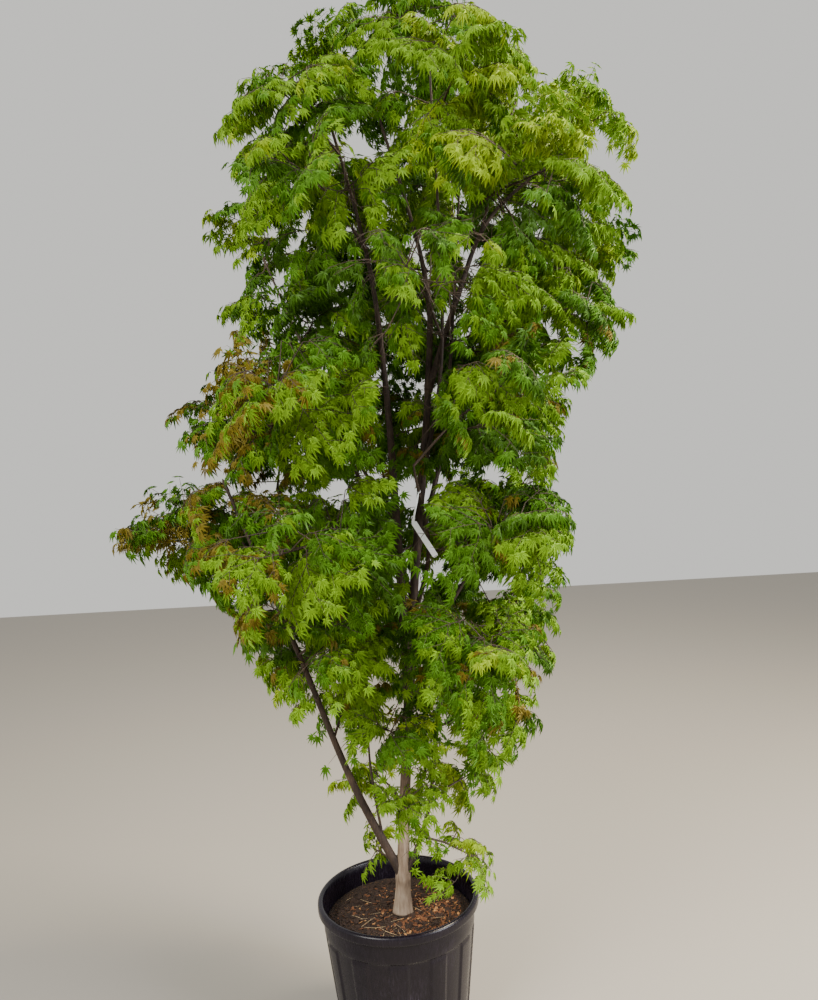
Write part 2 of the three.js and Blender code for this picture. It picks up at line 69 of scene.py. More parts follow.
MM = 0.001

# The pot and its soil, as in the solids
POT_HEIGHT = 380
POT_FOOT_RADIUS = 170
POT_BAND_RADIUS = 212
POT_RIM_RADIUS = 225
POT_RIM_DEPTH = 27
POT_WALL = 4
POT_FLOOR = 5
RIB_COUNT = 12
RIB_TOP = 299
RIB_FOOT = 22
RIB_PROUD = 4
RIB_SHARE = 0.45
DRAIN_COUNT = 6
DRAIN_WIDTH = 34
DRAIN_HEIGHT = 13
SOIL_TOP = 325
SOIL_EDGE_DROP = 7
CLEAR = 0.3

# The limbs, as in the solids
ROOT_FLARE = 11
ROOT_FLARE_HEIGHT = 62
LIMB_SAMPLES = 60
HEADING_STEP = 1e-4
HEIGHT_HALVINGS = 40
FORK_SHARE = 0.03
LIMBS = {  # parent, the height where it leaves it, bends, tip, radii at either end
    "trunk": (
        None, SOIL_TOP + CLEAR, [(32, 0, 625), (92, 0, 1230), (165, 0, 1810), (168, 25, 2135)],
        (50, 90, 2655), (18, 3.5)),
    "leader_left": (
        "trunk", 935, [(54, -45, 1435), (46, -60, 1785), (14, -80, 2150)], (-98, -110, 2640), (13.5, 3)),
    "leader_back": ("trunk", 1315, [(212, 130, 1700)], (308, 245, 2485), (9, 3)),
    "bough_right": ("trunk", 1780, [(257, -20, 2030), (358, -30, 2240)], (568, -45, 2405), (9.5, 3)),
    "bough_right_top": ("bough_right", 2205, [(392, 25, 2415)], (466, 70, 2610), (5, 2.5)),
    "bough_left_low": ("trunk", 420, [(-108, -35, 710), (-235, -80, 1100)], (-398, -110, 1560), (12.5, 4)),
    "bough_left_mid": ("leader_left", 1265, [(-123, -75, 1780)], (-270, -60, 2165), (6, 2.5)),
    "bough_left_back": ("leader_left", 1030, [(-117, 110, 1270)], (-311, 220, 1535), (6.5, 3)),
    "bough_right_mid": ("trunk", 1005, [(235, -30, 1250)], (408, -50, 1510), (8, 3)),
    "bough_front": ("trunk", 1130, [(135, -150, 1340)], (107, -340, 1560), (7.5, 3)),
    "bough_back": ("trunk", 1190, [(36, 160, 1410)], (0, 350, 1695), (7.5, 3)),
    "bough_left_rear": ("leader_left", 1415, [(-85, 70, 1690)], (-136, 215, 2020), (5.5, 2.5)),
    "leader_front": ("trunk", 1500, [(203, -125, 1900)], (204, -215, 2610), (6.5, 2.5)),
    "shoot_left_low": ("bough_left_low", 530, [(-55, -55, 780)], (-46, -75, 1050), (4, 2)),
    "shoot_right_low": ("trunk", 400, [(98, -30, 620), (138, -45, 875)], (210, -60, 1105), (7, 3)),
}

# The crown's tiers, as in the solids: middle height, half height, reaches to the left, right, front and
# back, count of masses, the first one's turn, and how much sky shows through on the left
CROWN_AXIS = (10, 0)
CROWN_LEAN = 0.056
TIERS = {
    "tip": (2690, 225, 325, 410, 320, 320, 3, 35, 0),
    "top": (2430, 238, 555, 680, 480, 470, 5, 0, 0),
    "upper": (2175, 245, 600, 720, 550, 530, 5, 20, 0.25),
    "shoulder": (1915, 243, 495, 570, 590, 570, 5, -12, 0.3),
    "middle": (1660, 240, 740, 460, 605, 585, 5, 14, 0),
    "waist": (1410, 235, 830, 470, 610, 590, 6, 0, 0),
    "lower": (1160, 225, 560, 465, 515, 495, 5, 10, 0),
    "skirt": (910, 190, 350, 385, 350, 330, 4, -20, 0),
    "hem": (690, 170, 225, 295, 245, 235, 3, 15, 0),
    "foot": (500, 130, 150, 265, 180, 160, 2, -5, 0),
}
MASS_OUT = 0.56
MASS_DEEP = 0.52
MASS_BROAD = 1.35
MASS_RAGGED = 45
MASS_GAP = 5
FOLIAGE_FLOOR = 400
PLACE_SEEDS = 11
MASS_SEEDS = 101

# Stems, twigs and sprays, as in the solids
STEM_LOW = 40
STEM_RISE = 0.06
STEM_SPAN = (0.2, 0.92)
STEM_SHORT = 0.6
STEM_BEYOND = 20
STEM_LEAF = 0.97
TWIG_RADIUS = 1.6
TWIG_CORNERS = ((-1, -0.5), (0, 1), (1, -0.5))
TWIG_LEAST = 16
TWIG_SHORT = 0.95
TWIG_SWAY = (0.3, 14)
TWIG_SPREAD = (95, 40)
TWIG_LIFTS = (16, -20, 40, 2, -34, 28, -8, 48)
TWIG_TURNS = 16
TWIG_STRIDE = 0.143
TWIG_APART = 0.1
TWIG_SPOTS = 20
SPRAY_LENGTH = 225
SPRAY_SIZES = (1, 0.88, 0.76, 0.64, 0.54)
SPRAY_TRIES = 6
SPRAY_LEAST = 4.4
SPRAY_SHARE = 31000
SPRAY_TURN = 1.1
SPRAY_DROOP = (0.45, -0.75)
SPRAY_FACE = (0.4, 1.6)
SPRAY_ROLL = 1.4
SPRAY_HUB = 0.36
SPRAY_NOTCH = 0.2
SPRAY_LOBES = ((-100, 0.4), (-50, 0.58), (0, 0.64), (50, 0.58), (100, 0.4))
SMALL_LOBES = ((-68, 0.48), (0, 0.64), (68, 0.48))
SMALL_SPRAY = 0.6
LOBE_LEAST = 0.6
LOBE_MARGIN = 2
LOBE_SPOTS = (1 / 3, 2 / 3, 1)
SPRAY_CUP = 0.12
SPRAY_THICKNESS = 0.034
SPRAY_APART = 0.17
SPRAY_TO_LIMB = 18

# Smaller sprays between the others, shoots and single leaves, which only this scene has
BETWEEN_TRIES = 900
BETWEEN_SIZES = (0.72, 0.58, 0.46, 0.36)
BETWEEN_OUTER = -0.2
BETWEEN_APART = 0.1
BETWEEN_ROOM = 52
BETWEEN_TWIG = (24, 260)
BETWEEN_SHARE = 1.36e6
BETWEEN_LEVEL = (1, 1, 0.4)
INNER_SHARE = 0.55
SHOOT_END = 0.92
SHOOT_SHORT = 0.4
SHOOT_ARCH = 0.05
SHOOT_RADII = (1.25, 0.5)
SHOOT_FOOT_LIFT = 0.8
SHOOT_BACK = 0.25
HIND_SHOOT_BACK = 0.7
HIND_SHOOT_ANGLE = 60
SIDE_SHOOTS = ((0.3, 1), (0.55, -1), (0.8, 1))  # where each leaves its shoot, and its hand
SIDE_SHOOT_LENGTH = (0.3, 0.5)
SIDE_SHOOT_ANGLE = (34, 62)
SIDE_SHOOT_RISE = (-0.3, 0.12)
SIDE_SHOOT_RADII = (0.8, 0.4)
TWIG_ARCH = 0.4
TWIG_RADII = (2.1, 1.3)
STEM_RADII = (4.6, 2.2)
LEAF_PITCH = 18.5
LEAF_FIRST = (0.4, 0.9)
LEAF_LAST = 0.4
LEAF_LOBE = 33
LEAF_SIZES = (0.6, 1.02)
LEAF_ANGLE = (34, 68)
LEAF_DROOP = (0.3, 1.1)
LEAF_FACE = (0.7, 0.8, 0.25)  # shares of the spray's face, of up and of outwards
LEAF_TUMBLE = 0.9
LEAF_REACH = 1.4
LEAF_FLOOR = 425
LEAF_PAST_BOX = 8
LEAF_SEEDS = 1000

UP = np.array([0.0, 0.0, 1.0])

# How it is seen from the front: the eye, its lens and turns, and the crown's outline in the trunk's plane
EYE = np.array([92.0, -2133.0, 1500.0])
LENS = 27.46
LENS_SENSOR = 36
EYE_PITCH = 89.4
EYE_ROLL = -3.2
OUTLINE = np.array([  # height, left edge, right edge
    (400, -120, 280), (650, -190, 300), (800, -180, 380), (900, -270, 460), (1100, -400, 490),
    (1250, -470, 530), (1380, -740, 540), (1600, -720, 530), (1700, -640, 540), (1800, -490, 600),
    (2000, -430, 820), (2300, -450, 840), (2500, -410, 760), (2650, -310, 640), (2800, -210, 560)])
# The share of shoots missing inside it: below a height, with as much more lower down, and at the upper left
THIN_SHARE = 0.25
THIN_BELOW = 1050
THINNER_SHARE = 0.35
THINNER_DOWN = (950, 650)
THIN_LEFT = -230
THIN_LEFT_HEIGHTS = (1850, 2350)

# The leaves' tints: colour, slot, and the light up to which one is taken. Bronze is given by place alone.
# The four green tints are shaded and lit copies of one leaf green: painted shade and painted sunlight.
LEAF_TINTS = {
    "shade": ("#40640e", "leaf_deep_green", 0.22),
    "green": ("#527d11", "leaf_green", 0.45),
    "bright": ("#739814", "leaf_green", 0.75),
    "lime": ("#93ac1d", "leaf_light_green", math.inf),
    "bronze": ("#75681a", "leaf_light_green", 0),
}
LIGHT_LEAST = 0.08
LIGHT_BY_CHANCE = 0.5
# Painted sunlight: leaves are painted lighter the further out they are, by so much at the crown's reach
SUNLIT_OUTER = 0.07
CROWN_REACH = 450
SHOOT_LIGHT = 0.12
# Parts of the crown whose leaves are painted lighter, as sunlit: from and up to a height, right of its axis
# by more than this, how much
SUNLIT_PARTS = (
    (2250, math.inf, -math.inf, 0.14), (2250, math.inf, 100, 0.12), (1500, 2250, 250, 0.1),
    (0, 1050, -math.inf, 0.16), (0, 720, -math.inf, 0.2))
# Parts with bronze young leaves: from and up to a height, right of the axis by less than this, their share
BRONZE_PARTS = ((1150, 1900, -300, 0.28), (900, 1900, math.inf, 0.04))


class Chance:
    """A small repeatable random number source, from 0 to 1, the same as the one that grew the solids."""

    def __init__(self, seed):
        self.state = (seed * 2654435761) % 2**32

    def __call__(self):
        self.state = (self.state * 1664525 + 1013904223) % 2**32
        return self.state / 2**32

    def between(self, low, high):
        return low + (high - low) * self()


def unit(v):
    return v / math.sqrt(v @ v)


def cross(a, b):
    return np.array([a[1] * b[2] - a[2] * b[1], a[2] * b[0] - a[0] * b[2], a[0] * b[1] - a[1] * b[0]])


def circle_point(radius, turn):
    return radius * math.cos(turn), radius * math.sin(turn)


def mix(a, b, t):
    return (1 - t) * a + t * b


def ease(low, high, value):
    t = min(1, max(0, (value - low) / (high - low)))
    return t * t * (3 - 2 * t)


# Curves and limbs
class LimbCurve:
    """A smooth line through its points, the same as the one that the solids follow."""

    def __init__(self, points):
        self.points = [np.array(p, dtype=float) for p in points]

    def point(self, t):
        points = self.points
        last = len(points) - 1
        whole = min(int(last * t), last - 1)
        w = last * t - whole
        x1 = points[whole]
        x2 = points[whole + 1]
        x0 = points[whole - 1] if whole > 0 else 2 * points[0] - points[1]
        x3 = points[whole + 2] if whole + 2 <= last else 2 * points[last] - points[last - 1]
        t0 = 0.5 * (x2 - x0)
        t1 = 0.5 * (x3 - x1)
        return x1 + w * (t0 + w * (-3 * x1 + 3 * x2 - 2 * t0 - t1 + w * (2 * x1 - 2 * x2 + t0 + t1)))

    def heading(self, t):
        return unit(self.point(min(1, t + HEADING_STEP)) - self.point(max(0, t - HEADING_STEP)))

    def at_height(self, z):
        low, high = 0.0, 1.0
        for _ in range(HEIGHT_HALVINGS):
            middle = (low + high) / 2
            if self.point(middle)[2] < z:
                low = middle
            else:
                high = middle
        return low


def grow_limbs():
    limbs = {}
    for name, (parent_name, height, bends, tip, ends) in LIMBS.items():
        parent = limbs.get(parent_name)
        foot = np.array([*CROWN_AXIS, height])
        if parent:
            foot = parent["curve"].point(parent["curve"].at_height(height))
        curve = LimbCurve([foot, *bends, tip])

        def radius(t, curve=curve, foot=foot, ends=ends, parent=parent):
            flare = 0 if parent else ROOT_FLARE * math.exp(-(curve.point(t)[2] - foot[2]) / ROOT_FLARE_HEIGHT)
            return mix(*ends, t) + flare

        shares = [(i + 1) / LIMB_SAMPLES for i in range(LIMB_SAMPLES)]
        limbs[name] = dict(
            curve=curve, radius=radius, parent=parent, forks=[],
            spots=np.array([curve.point(t) for t in shares]),
            apart=np.array([radius(t) + SPRAY_TO_LIMB for t in shares]))
        if parent:
            parent["forks"].append(dict(at=foot, radius=ends[0], towards=curve.heading(FORK_SHARE)))
    return limbs


# The masses' places and spaces
def place_masses():
    masses = []
    for z, half, left, right, front, back, count, first_turn, sky in TIERS.values():
        for i in range(count):
            chance = Chance(len(masses) + PLACE_SEEDS)
            out = np.array([*circle_point(1, math.radians(first_turn + 360 * i / count)), 0.0])
            reach_x = out[0] * (right if out[0] > 0 else left)
            reach = math.hypot(reach_x, out[1] * (back if out[1] > 0 else front))
            height = z + MASS_RAGGED * (2 * chance() - 1)
            axis = np.array([CROWN_AXIS[0] + CROWN_LEAN * height, CROWN_AXIS[1], height])
            middle = axis + reach * MASS_OUT * out
            side = np.array([-out[1], out[0], 0.0])
            broad = reach * MASS_OUT * math.sin(math.pi / count) * MASS_BROAD
            masses.append(dict(
                seed=len(masses) + MASS_SEEDS, middle=middle, out=out, side=side,
                axes=np.array([out, side, UP]), inner_middle=mix(axis, middle, INNER_SHARE),
                half=np.array([reach * MASS_DEEP, broad, half]), bare=sky * max(0, -out[0])))
    for mass in masses:
        normals = []
        edges = []
        for other in masses:
            if other is not mass:
                normals.append(unit(other["middle"] - mass["middle"]))
                edges.append((other["middle"] + mass["middle"]) / 2 @ normals[-1] - MASS_GAP / 2)
        mass["normals"] = np.array([*normals, -UP])
        mass["edges"] = np.array([*edges, -FOLIAGE_FLOOR])
    return masses


def room_along(mass, start, heading):
    """How far a ray from a point inside a mass's space runs before it leaves it, or 0 from outside it."""
    at = mass["axes"] @ (start - mass["middle"]) / mass["half"]
    step = mass["axes"] @ heading / mass["half"]
    a, b, c = step @ step, at @ step, at @ at - 1
    left = mass["edges"] - mass["normals"] @ start
    if c > 0 or left.min() < 0:
        return 0.0
    closing = mass["normals"] @ heading
    ahead = closing > 0
    room = (-b + math.sqrt(b * b - a * c)) / a
    return min(room, (left[ahead] / closing[ahead]).min()) if ahead.any() else room


def all_inside(mass, points):
    at = (points - mass["middle"]) @ mass["axes"].T / mass["half"]
    if ((at * at).sum(axis=1) > 1).any():
        return False
    return bool((points @ mass["normals"].T <= mass["edges"]).all())


def is_near(points, spots, apart):
    if len(spots) == 0:
        return False
    gaps = np.linalg.norm(np.asarray(points)[:, None] - np.asarray(spots)[None], axis=2)
    return bool((gaps < apart).any())


def stem_foot(mass, limbs):
    """Where a mass's stem leaves a limb: near the mass's middle and rather below it, in its own space."""
    best = None
    for limb in limbs.values():
        for point in limb["spots"]:
            if (mass["normals"] @ point < mass["edges"]).all():
                off = point - mass["middle"]
                cost = math.sqrt(off @ off) + max(0, off[2] + STEM_LOW)
                if best is None or cost < best[0]:
                    best = (cost, point)
    return best[1]


def spray_on_twig(mass, start, heading, twig, along, face, length):
    """One spray's places, outline and directions, or None where it has too little room."""
    lobes = SMALL_LOBES if length <= SMALL_SPRAY * SPRAY_LENGTH else SPRAY_LOBES
    across = unit(cross(face, along))
    normal = unit(cross(along, across))
    lift = unit(cross(heading, across))
    root = start + twig * heading
    hub = root + SPRAY_HUB * length * along

    def ray(degrees, sag):
        turn = math.radians(degrees)
        return unit(math.cos(turn) * along + math.sin(turn) * across - sag * normal)

    def ring(at, up):
        return [at + u * TWIG_RADIUS * across + v * TWIG_RADIUS * up for u, v in TWIG_CORNERS]

    left, top, right = ring(root, normal)
    outline = [left]
    spots = [hub]
    tips = []
    for i, (degrees, share) in enumerate(lobes):
        out = ray(degrees, 2 * SPRAY_CUP)
        reach = min(share * length, room_along(mass, hub, out) - LOBE_MARGIN)
        if reach < share * LOBE_LEAST * length:
            return None
        if i > 0:
            outline.append(hub + SPRAY_NOTCH * length * ray((degrees + lobes[i - 1][0]) / 2, SPRAY_CUP))
        outline.append(hub + reach * out)
        tips.append((degrees, hub + reach * out))
        spots.extend(hub + reach * part * out for part in LOBE_SPOTS)
    outline.append(right)
    half_thick = SPRAY_THICKNESS * length / 2
    corners = [*outline, top, hub + half_thick * normal, hub - half_thick * normal, *ring(start, lift)]
    if not all_inside(mass, np.array(corners)):
        return None
    return dict(
        start=start, root=root, hub=hub, tips=tips, outline=outline, spots=spots, along=along,
        normal=normal, length=length)


def touches_limb(outline, limbs):
    points = []
    for i, p in enumerate(outline):
        points.extend((p, mix(p, outline[0], 0.5), mix(p, outline[(i + 1) % len(outline)], 0.5)))
    return any(is_near(points, limb["spots"], limb["apart"][None]) for limb in limbs.values())


def face_of_spray(mass, along, chance):
    """Which way a spray faces: upwards and out of its mass, rolled by chance, and square to its length."""
    face = UP + mix(*SPRAY_FACE, chance()) * mass["out"]
    face = face + SPRAY_ROLL * (chance() - 0.5) * mass["side"]
    return face - (face @ along) * along


def grow_mass(mass, foot, limbs):
    """The stem and the sprays of one mass: those of the solids first, and smaller ones between them."""
    chance = Chance(mass["seed"])
    heading = unit(mass["middle"] - foot)
    beyond = room_along(mass, mass["middle"], heading) - STEM_SHORT * SPRAY_LENGTH
    tip = mass["middle"] + max(beyond, STEM_BEYOND) * heading
    joint = (foot + tip) / 2 + STEM_RISE * math.dist(foot, tip) * UP

    def stem_point(t):
        return mix(foot, joint, 2 * t) if t < 0.5 else mix(joint, tip, 2 * t - 1)

    def stem_heading(t):
        return unit(tip - foot) if t == 0.5 else unit(joint - foot) if t < 0.5 else unit(tip - joint)

    def spots_along(point_at, length):
        count = math.ceil(length / TWIG_SPOTS)
        return [point_at((i + 1) / count) for i in range(count)]

    blades = []
    lines = spots_along(stem_point, math.dist(foot, joint) + math.dist(joint, tip))
    most = math.floor(SPRAY_LEAST + mass["half"][0] * mass["half"][1] / SPRAY_SHARE + 0.5)
    sprays = []

    def add_spray(start, heading):
        side = unit(cross(UP, heading))
        room = room_along(mass, start, heading)
        for size in SPRAY_SIZES:
            length = SPRAY_LENGTH * size
            twig = max(TWIG_LEAST, room - TWIG_SHORT * length)
            for _ in range(SPRAY_TRIES):
                if len(sprays) >= most:
                    return
                along = heading + SPRAY_TURN * (chance() - 0.5) * side
                along = unit(along + mix(*SPRAY_DROOP, chance()) * UP)
                face = face_of_spray(mass, along, chance)
                spray = spray_on_twig(mass, start, heading, twig, along, face, length)
                if spray is None or touches_limb(spray["outline"], limbs):
                    continue
                line = spots_along(lambda t: mix(start, spray["root"], t), twig)
                if (is_near(spray["spots"], blades, SPRAY_APART * length)
                        or is_near(spray["spots"], lines, TWIG_APART * length)
                        or is_near(line, blades, TWIG_APART * length)):
                    continue
                blades.extend(spray["spots"])
                lines.extend(line)
                sprays.append(spray)
                return

    add_spray(stem_point(STEM_LEAF), stem_heading(1))
    for k in range(TWIG_TURNS):
        t = mix(STEM_SPAN[1], STEM_SPAN[0], (k * TWIG_STRIDE) % 1)
        hand = 1 if k % 2 else -1
        spread = hand * (math.radians(mix(*TWIG_SPREAD, t)) + TWIG_SWAY[0] * (chance() - 0.5))
        level = stem_heading(t) * (1, 1, 0)
        x, y, _ = unit(level)
        lift = TWIG_LIFTS[k % len(TWIG_LIFTS)] + TWIG_SWAY[1] * (chance() - 0.5)
        turned = np.array([
            x * math.cos(spread) - y * math.sin(spread), x * math.sin(spread) + y * math.cos(spread),
            math.tan(math.radians(lift))])
        if chance() >= mass["bare"]:
            add_spray(stem_point(t), unit(turned))
    fill_between(mass, limbs, chance, lines, blades, sprays)
    return [foot, joint, tip], sprays


def fill_between(mass, limbs, chance, lines, blades, sprays):
    """Smaller sprays, each on a twig from the nearest wood, in the room that the others leave."""
    most = len(sprays) + int(mass["half"].prod() / BETWEEN_SHARE * (1 - mass["bare"]))
    inner = dict(mass, middle=mass["inner_middle"])
    for number in range(BETWEEN_TRIES):
        if len(sprays) >= most:
            return
        # Every other one grows nearer the trunk, where the sides of the mass's own space draw in, and the
        # rest grow in its outer part.
        space, innermost = (inner, -1) if number % 2 else (mass, BETWEEN_OUTER)
        spot = np.array([chance.between(innermost, 1), chance.between(-1, 1), chance.between(-1, 1)])
        spot = space["middle"] + spot * space["half"] @ space["axes"]
        if not all_inside(space, spot[None]) or is_near([spot], blades, BETWEEN_ROOM):
            continue
        gaps = np.linalg.norm(np.array(lines) - spot, axis=1)
        start = lines[int(gaps.argmin())]
        twig = gaps.min()
        if not BETWEEN_TWIG[0] < twig < BETWEEN_TWIG[1]:
            continue
        heading = (spot - start) / twig
        for size in BETWEEN_SIZES:
            length = SPRAY_LENGTH * size
            along = unit(heading * BETWEEN_LEVEL + mix(*SPRAY_DROOP, chance()) * UP)
            face = face_of_spray(mass, along, chance)
            reach = max(TWIG_LEAST, twig - SPRAY_HUB * length)
            spray = spray_on_twig(space, start, heading, reach, along, face, length)
            if (spray is None or touches_limb(spray["outline"], limbs)
                    or is_near(spray["spots"], blades, BETWEEN_APART * length)):
                continue
            blades.extend(spray["spots"])
            sprays.append(spray)
            break


# Finer growth: the shoots of each spray, with side shoots, and with leaves in pairs
def shoots_of(spray, mass, chance):
    """The lines of one spray's twig and shoots: their points, radii at either end, and whether leafy."""
    hub, length = spray["hub"], spray["length"]
    middle = next(tip for degrees, tip in spray["tips"] if degrees == 0)
    arch = SHOOT_ARCH * length * spray["normal"]
    end_share = SHOOT_SHORT if beyond_outline(middle) else SHOOT_END
    leader = [
        spray["root"], hub + arch, mix(hub, middle, 0.5 * end_share) + arch, mix(hub, middle, end_share)]
    shoots = [(leader, (TWIG_RADII[1], SHOOT_RADII[1]), True)]
    for degrees, tip in spray["tips"]:
        if degrees:
            # The hindmost shoots leave the twig before the others do.
            back = SPRAY_HUB * length * (HIND_SHOOT_BACK if abs(degrees) > HIND_SHOOT_ANGLE else SHOOT_BACK)
            foot = hub - back * spray["along"] + arch * SHOOT_FOOT_LIFT
            end = mix(foot, tip, SHOOT_END)
            if chance() >= bare_share(end):
                shoots.append(([foot, mix(foot, end, 0.5) + arch, end], SHOOT_RADII, True))
    side_shoots = []
    for points, _, _ in shoots:
        reach = math.dist(points[-2], points[-1]) + math.dist(points[-3], points[-2])
        for share, hand in SIDE_SHOOTS:
            whole = min(int(share * (len(points) - 1)), len(points) - 2)
            start = mix(points[whole], points[whole + 1], share * (len(points) - 1) - whole)
            heading = unit(points[whole + 1] - points[whole])
            turn = hand * math.radians(chance.between(*SIDE_SHOOT_ANGLE))
            out = math.cos(turn) * heading + math.sin(turn) * cross(spray["normal"], heading)
            out = unit(out + chance.between(*SIDE_SHOOT_RISE) * UP)
            end = start + chance.between(*SIDE_SHOOT_LENGTH) * reach * out
            if all_inside(mass, end[None]) and chance() >= bare_share(end):
                side_shoots.append(([start, end], SIDE_SHOOT_RADII, True))
    twig_middle = mix(spray["start"], spray["root"], 0.5) + arch * TWIG_ARCH
    return [*shoots, *side_shoots, ([spray["start"], twig_middle, spray["root"]], TWIG_RADII, False)]


def walk(points, first, pitch):
    """Places along a line at an even pitch, each with the line's heading there, and its end at last."""
    places = []
    gone = 0.0
    wanted = first
    for a, b in zip(points, points[1:]):
        span = math.dist(a, b)
        while wanted < gone + span - LEAF_LAST * pitch:
            places.append((mix(a, b, (wanted - gone) / span), unit(b - a), False))
            wanted += pitch
        gone += span
    places.append((points[-1], unit(points[-1] - points[-2]), True))
    return places


def leaf_turn(heading, face):
    """The turn that lays a leaf's middle lobe along its heading, facing as nearly as may be to its face."""
    x = unit(heading)
    y = unit(cross(face, x))
    return Matrix((x, y, cross(x, y))).transposed().to_quaternion()


def right_of_axis(at):
    """How far to the right of the crown's leaning axis a place is, as it is seen from the front."""
    return at[0] - CROWN_AXIS[0] - CROWN_LEAN * at[2]


def tone_and_sunlight_at(at, chance):
    """How light the leaves of a spray are, from 0 to 1: partly a tone by chance, and partly painted sunlight
    by its place in the crown, lighter outwards and in the sunlit parts.
    """
    right = right_of_axis(at)
    light = LIGHT_LEAST + LIGHT_BY_CHANCE * chance() + SUNLIT_OUTER * math.hypot(right, at[1]) / CROWN_REACH
    for low, high, edge, extra in SUNLIT_PARTS:
        if low < at[2] <= high and right > edge:
            light += extra
    return light


def tint_of(at, light, chance):
    """The tint of one shoot's leaves: bronze by its place, else one of the shaded and lit copies of green by
    its spray's painted light: see LEAF_TINTS.
    """
    right = right_of_axis(at)
    for low, high, edge, share in BRONZE_PARTS:
        if low < at[2] < high and right < edge and chance() < share:
            return "bronze"
    light += chance.between(-SHOOT_LIGHT, SHOOT_LIGHT)
    return next(tint for tint, (_, _, most) in LEAF_TINTS.items() if light < most)


def beyond_outline(at):
    """Whether a place is past the crown's outline, as it is seen from the front."""
    seen_x, _, seen_z = EYE + (at - EYE) * EYE[1] / (EYE[1] - at[1])
    heights, left, right = OUTLINE.T
    return not np.interp(seen_z, heights, left) < seen_x < np.interp(seen_z, heights, right)


def bare_share(at):
    """The share of shoots missing at a place: the crown thins out low down and at the upper left."""
    if beyond_outline(at):
        return 1.0
    if at[2] < THIN_BELOW:
        return THIN_SHARE + THINNER_SHARE * ease(*THINNER_DOWN, at[2])
    if right_of_axis(at) < THIN_LEFT and THIN_LEFT_HEIGHTS[0] < at[2] < THIN_LEFT_HEIGHTS[1]:
        return THIN_SHARE
    return 0.0


def leaves_along(points, spray, out_of_mass, box, keep_clear, chance):
    """A shoot's leaves, in pairs and one at its end: each its place, turn, size and form."""
    by_spray, by_up, by_out = LEAF_FACE
    facing = by_spray * spray["normal"] + by_up * UP + by_out * out_of_mass
    found = []
    for at, heading, is_end in walk(points, LEAF_PITCH * chance.between(*LEAF_FIRST), LEAF_PITCH):
        off = cross(spray["normal"], heading)
        for hand in (0,) if is_end else (-1, 1):
            size = chance.between(*LEAF_SIZES)
            angle = hand * math.radians(chance.between(*LEAF_ANGLE))
            out = unit(math.cos(angle) * heading + math.sin(angle) * off)
            out = unit(out - chance.between(*LEAF_DROOP) * UP)
            face = facing + np.array([chance() - 0.5, chance() - 0.5, chance() - 0.5]) * LEAF_TUMBLE
            tip = at + size * LEAF_LOBE * LEAF_REACH * out
            form = int(chance() * len(LEAF_FORMS))
            outside = (tip < box[0]).any() or (tip > box[1]).any() or tip[2] < LEAF_FLOOR
            if not outside and not keep_clear(at, tip):
                found.append((at, leaf_turn(out, face), size, form))
    return found


def grow_leaves(masses, limbs, keep_clear):
    """All twig lines with their radii, and the leaves of each tint."""
    lines = []
    leaves = {tint: [] for tint in LEAF_TINTS}
    box = np.array(CAD_BOX) / MM + [[-LEAF_PAST_BOX], [LEAF_PAST_BOX]]
    for mass in masses:
        stem, sprays = grow_mass(mass, stem_foot(mass, limbs), limbs)
        lines.append((stem, STEM_RADII))
        chance = Chance(mass["seed"] + LEAF_SEEDS)
        for spray in sprays:
            if beyond_outline(spray["hub"]):
                continue
            light = tone_and_sunlight_at(spray["hub"], chance)
            for points, radii, leafy in shoots_of(spray, mass, chance):
                lines.append((points, radii))
                if leafy:
                    tint = tint_of(points[-1], light, chance)
                    leaves[tint].extend(leaves_along(points, spray, mass["out"], box, keep_clear, chance))
    return lines, leaves


# Colours and materials
def linear(code):
    """A hex colour as the four linear values that a socket takes."""
    parts = [int(code[i:i + 2], 16) / 255 for i in (1, 3, 5)]
    return [c / 12.92 if c <= 0.04045 else ((c + 0.055) / 1.055) ** 2.4 for c in parts] + [1.0]


def link_up(tree, node, sources):
    """Links a node's sockets to outputs. A node given as a source stands for its first output."""
    for name, source in sources.items():
        output = source.outputs[0] if isinstance(source, bpy.types.Node) else source
        tree.links.new(output, node.inputs[name])


def add_node(tree, kind, settings=None, links=None):
    """One node with its settings, by attribute or by socket, and what its sockets are linked to."""
    node = tree.nodes.new(kind)
    for name, value in (settings or {}).items():
        if isinstance(name, str) and name[0].islower():
            setattr(node, name, value)
        else:
            node.inputs[name].default_value = value
    link_up(tree, node, links or {})
    return node


def finish_named(name, **sockets):
    """A material with the shader's own sockets set, its shader and its node tree."""
    material = bpy.data.materials.new(name)
    material.use_nodes = True
    tree = material.node_tree
    shader = tree.nodes["Principled BSDF"]
    for socket, value in sockets.items():
        shader.inputs[socket.replace("_", " ").title().replace("Ior", "IOR")].default_value = value
    return material, shader, tree


def colour_steps(tree, fac, steps):
    """A colour ramp from (position, hex colour) pairs."""
    ramp = add_node(tree, "ShaderNodeValToRGB", links={"Fac": fac})
    elements = ramp.color_ramp.elements
    while len(elements) < len(steps):
        elements.new(0.5)
    for element, (position, code) in zip(elements, steps):
        element.position = position
        element.color = linear(code)
    return ramp.outputs["Color"]


def leaf_blade(name, code):
    """A thin soft maple leaf, whose skin has only a dull shine. Its colour is plain."""
    return finish_named(name, base_color=linear(code), roughness=0.58, specular_ior_level=0.28)[0]


# Painted shade on the trunk's bark above a height: over how many metres it darkens, and by how much
SHADED_OVER = 0.35
PAINTED_SHADE_DEPTH = -0.4


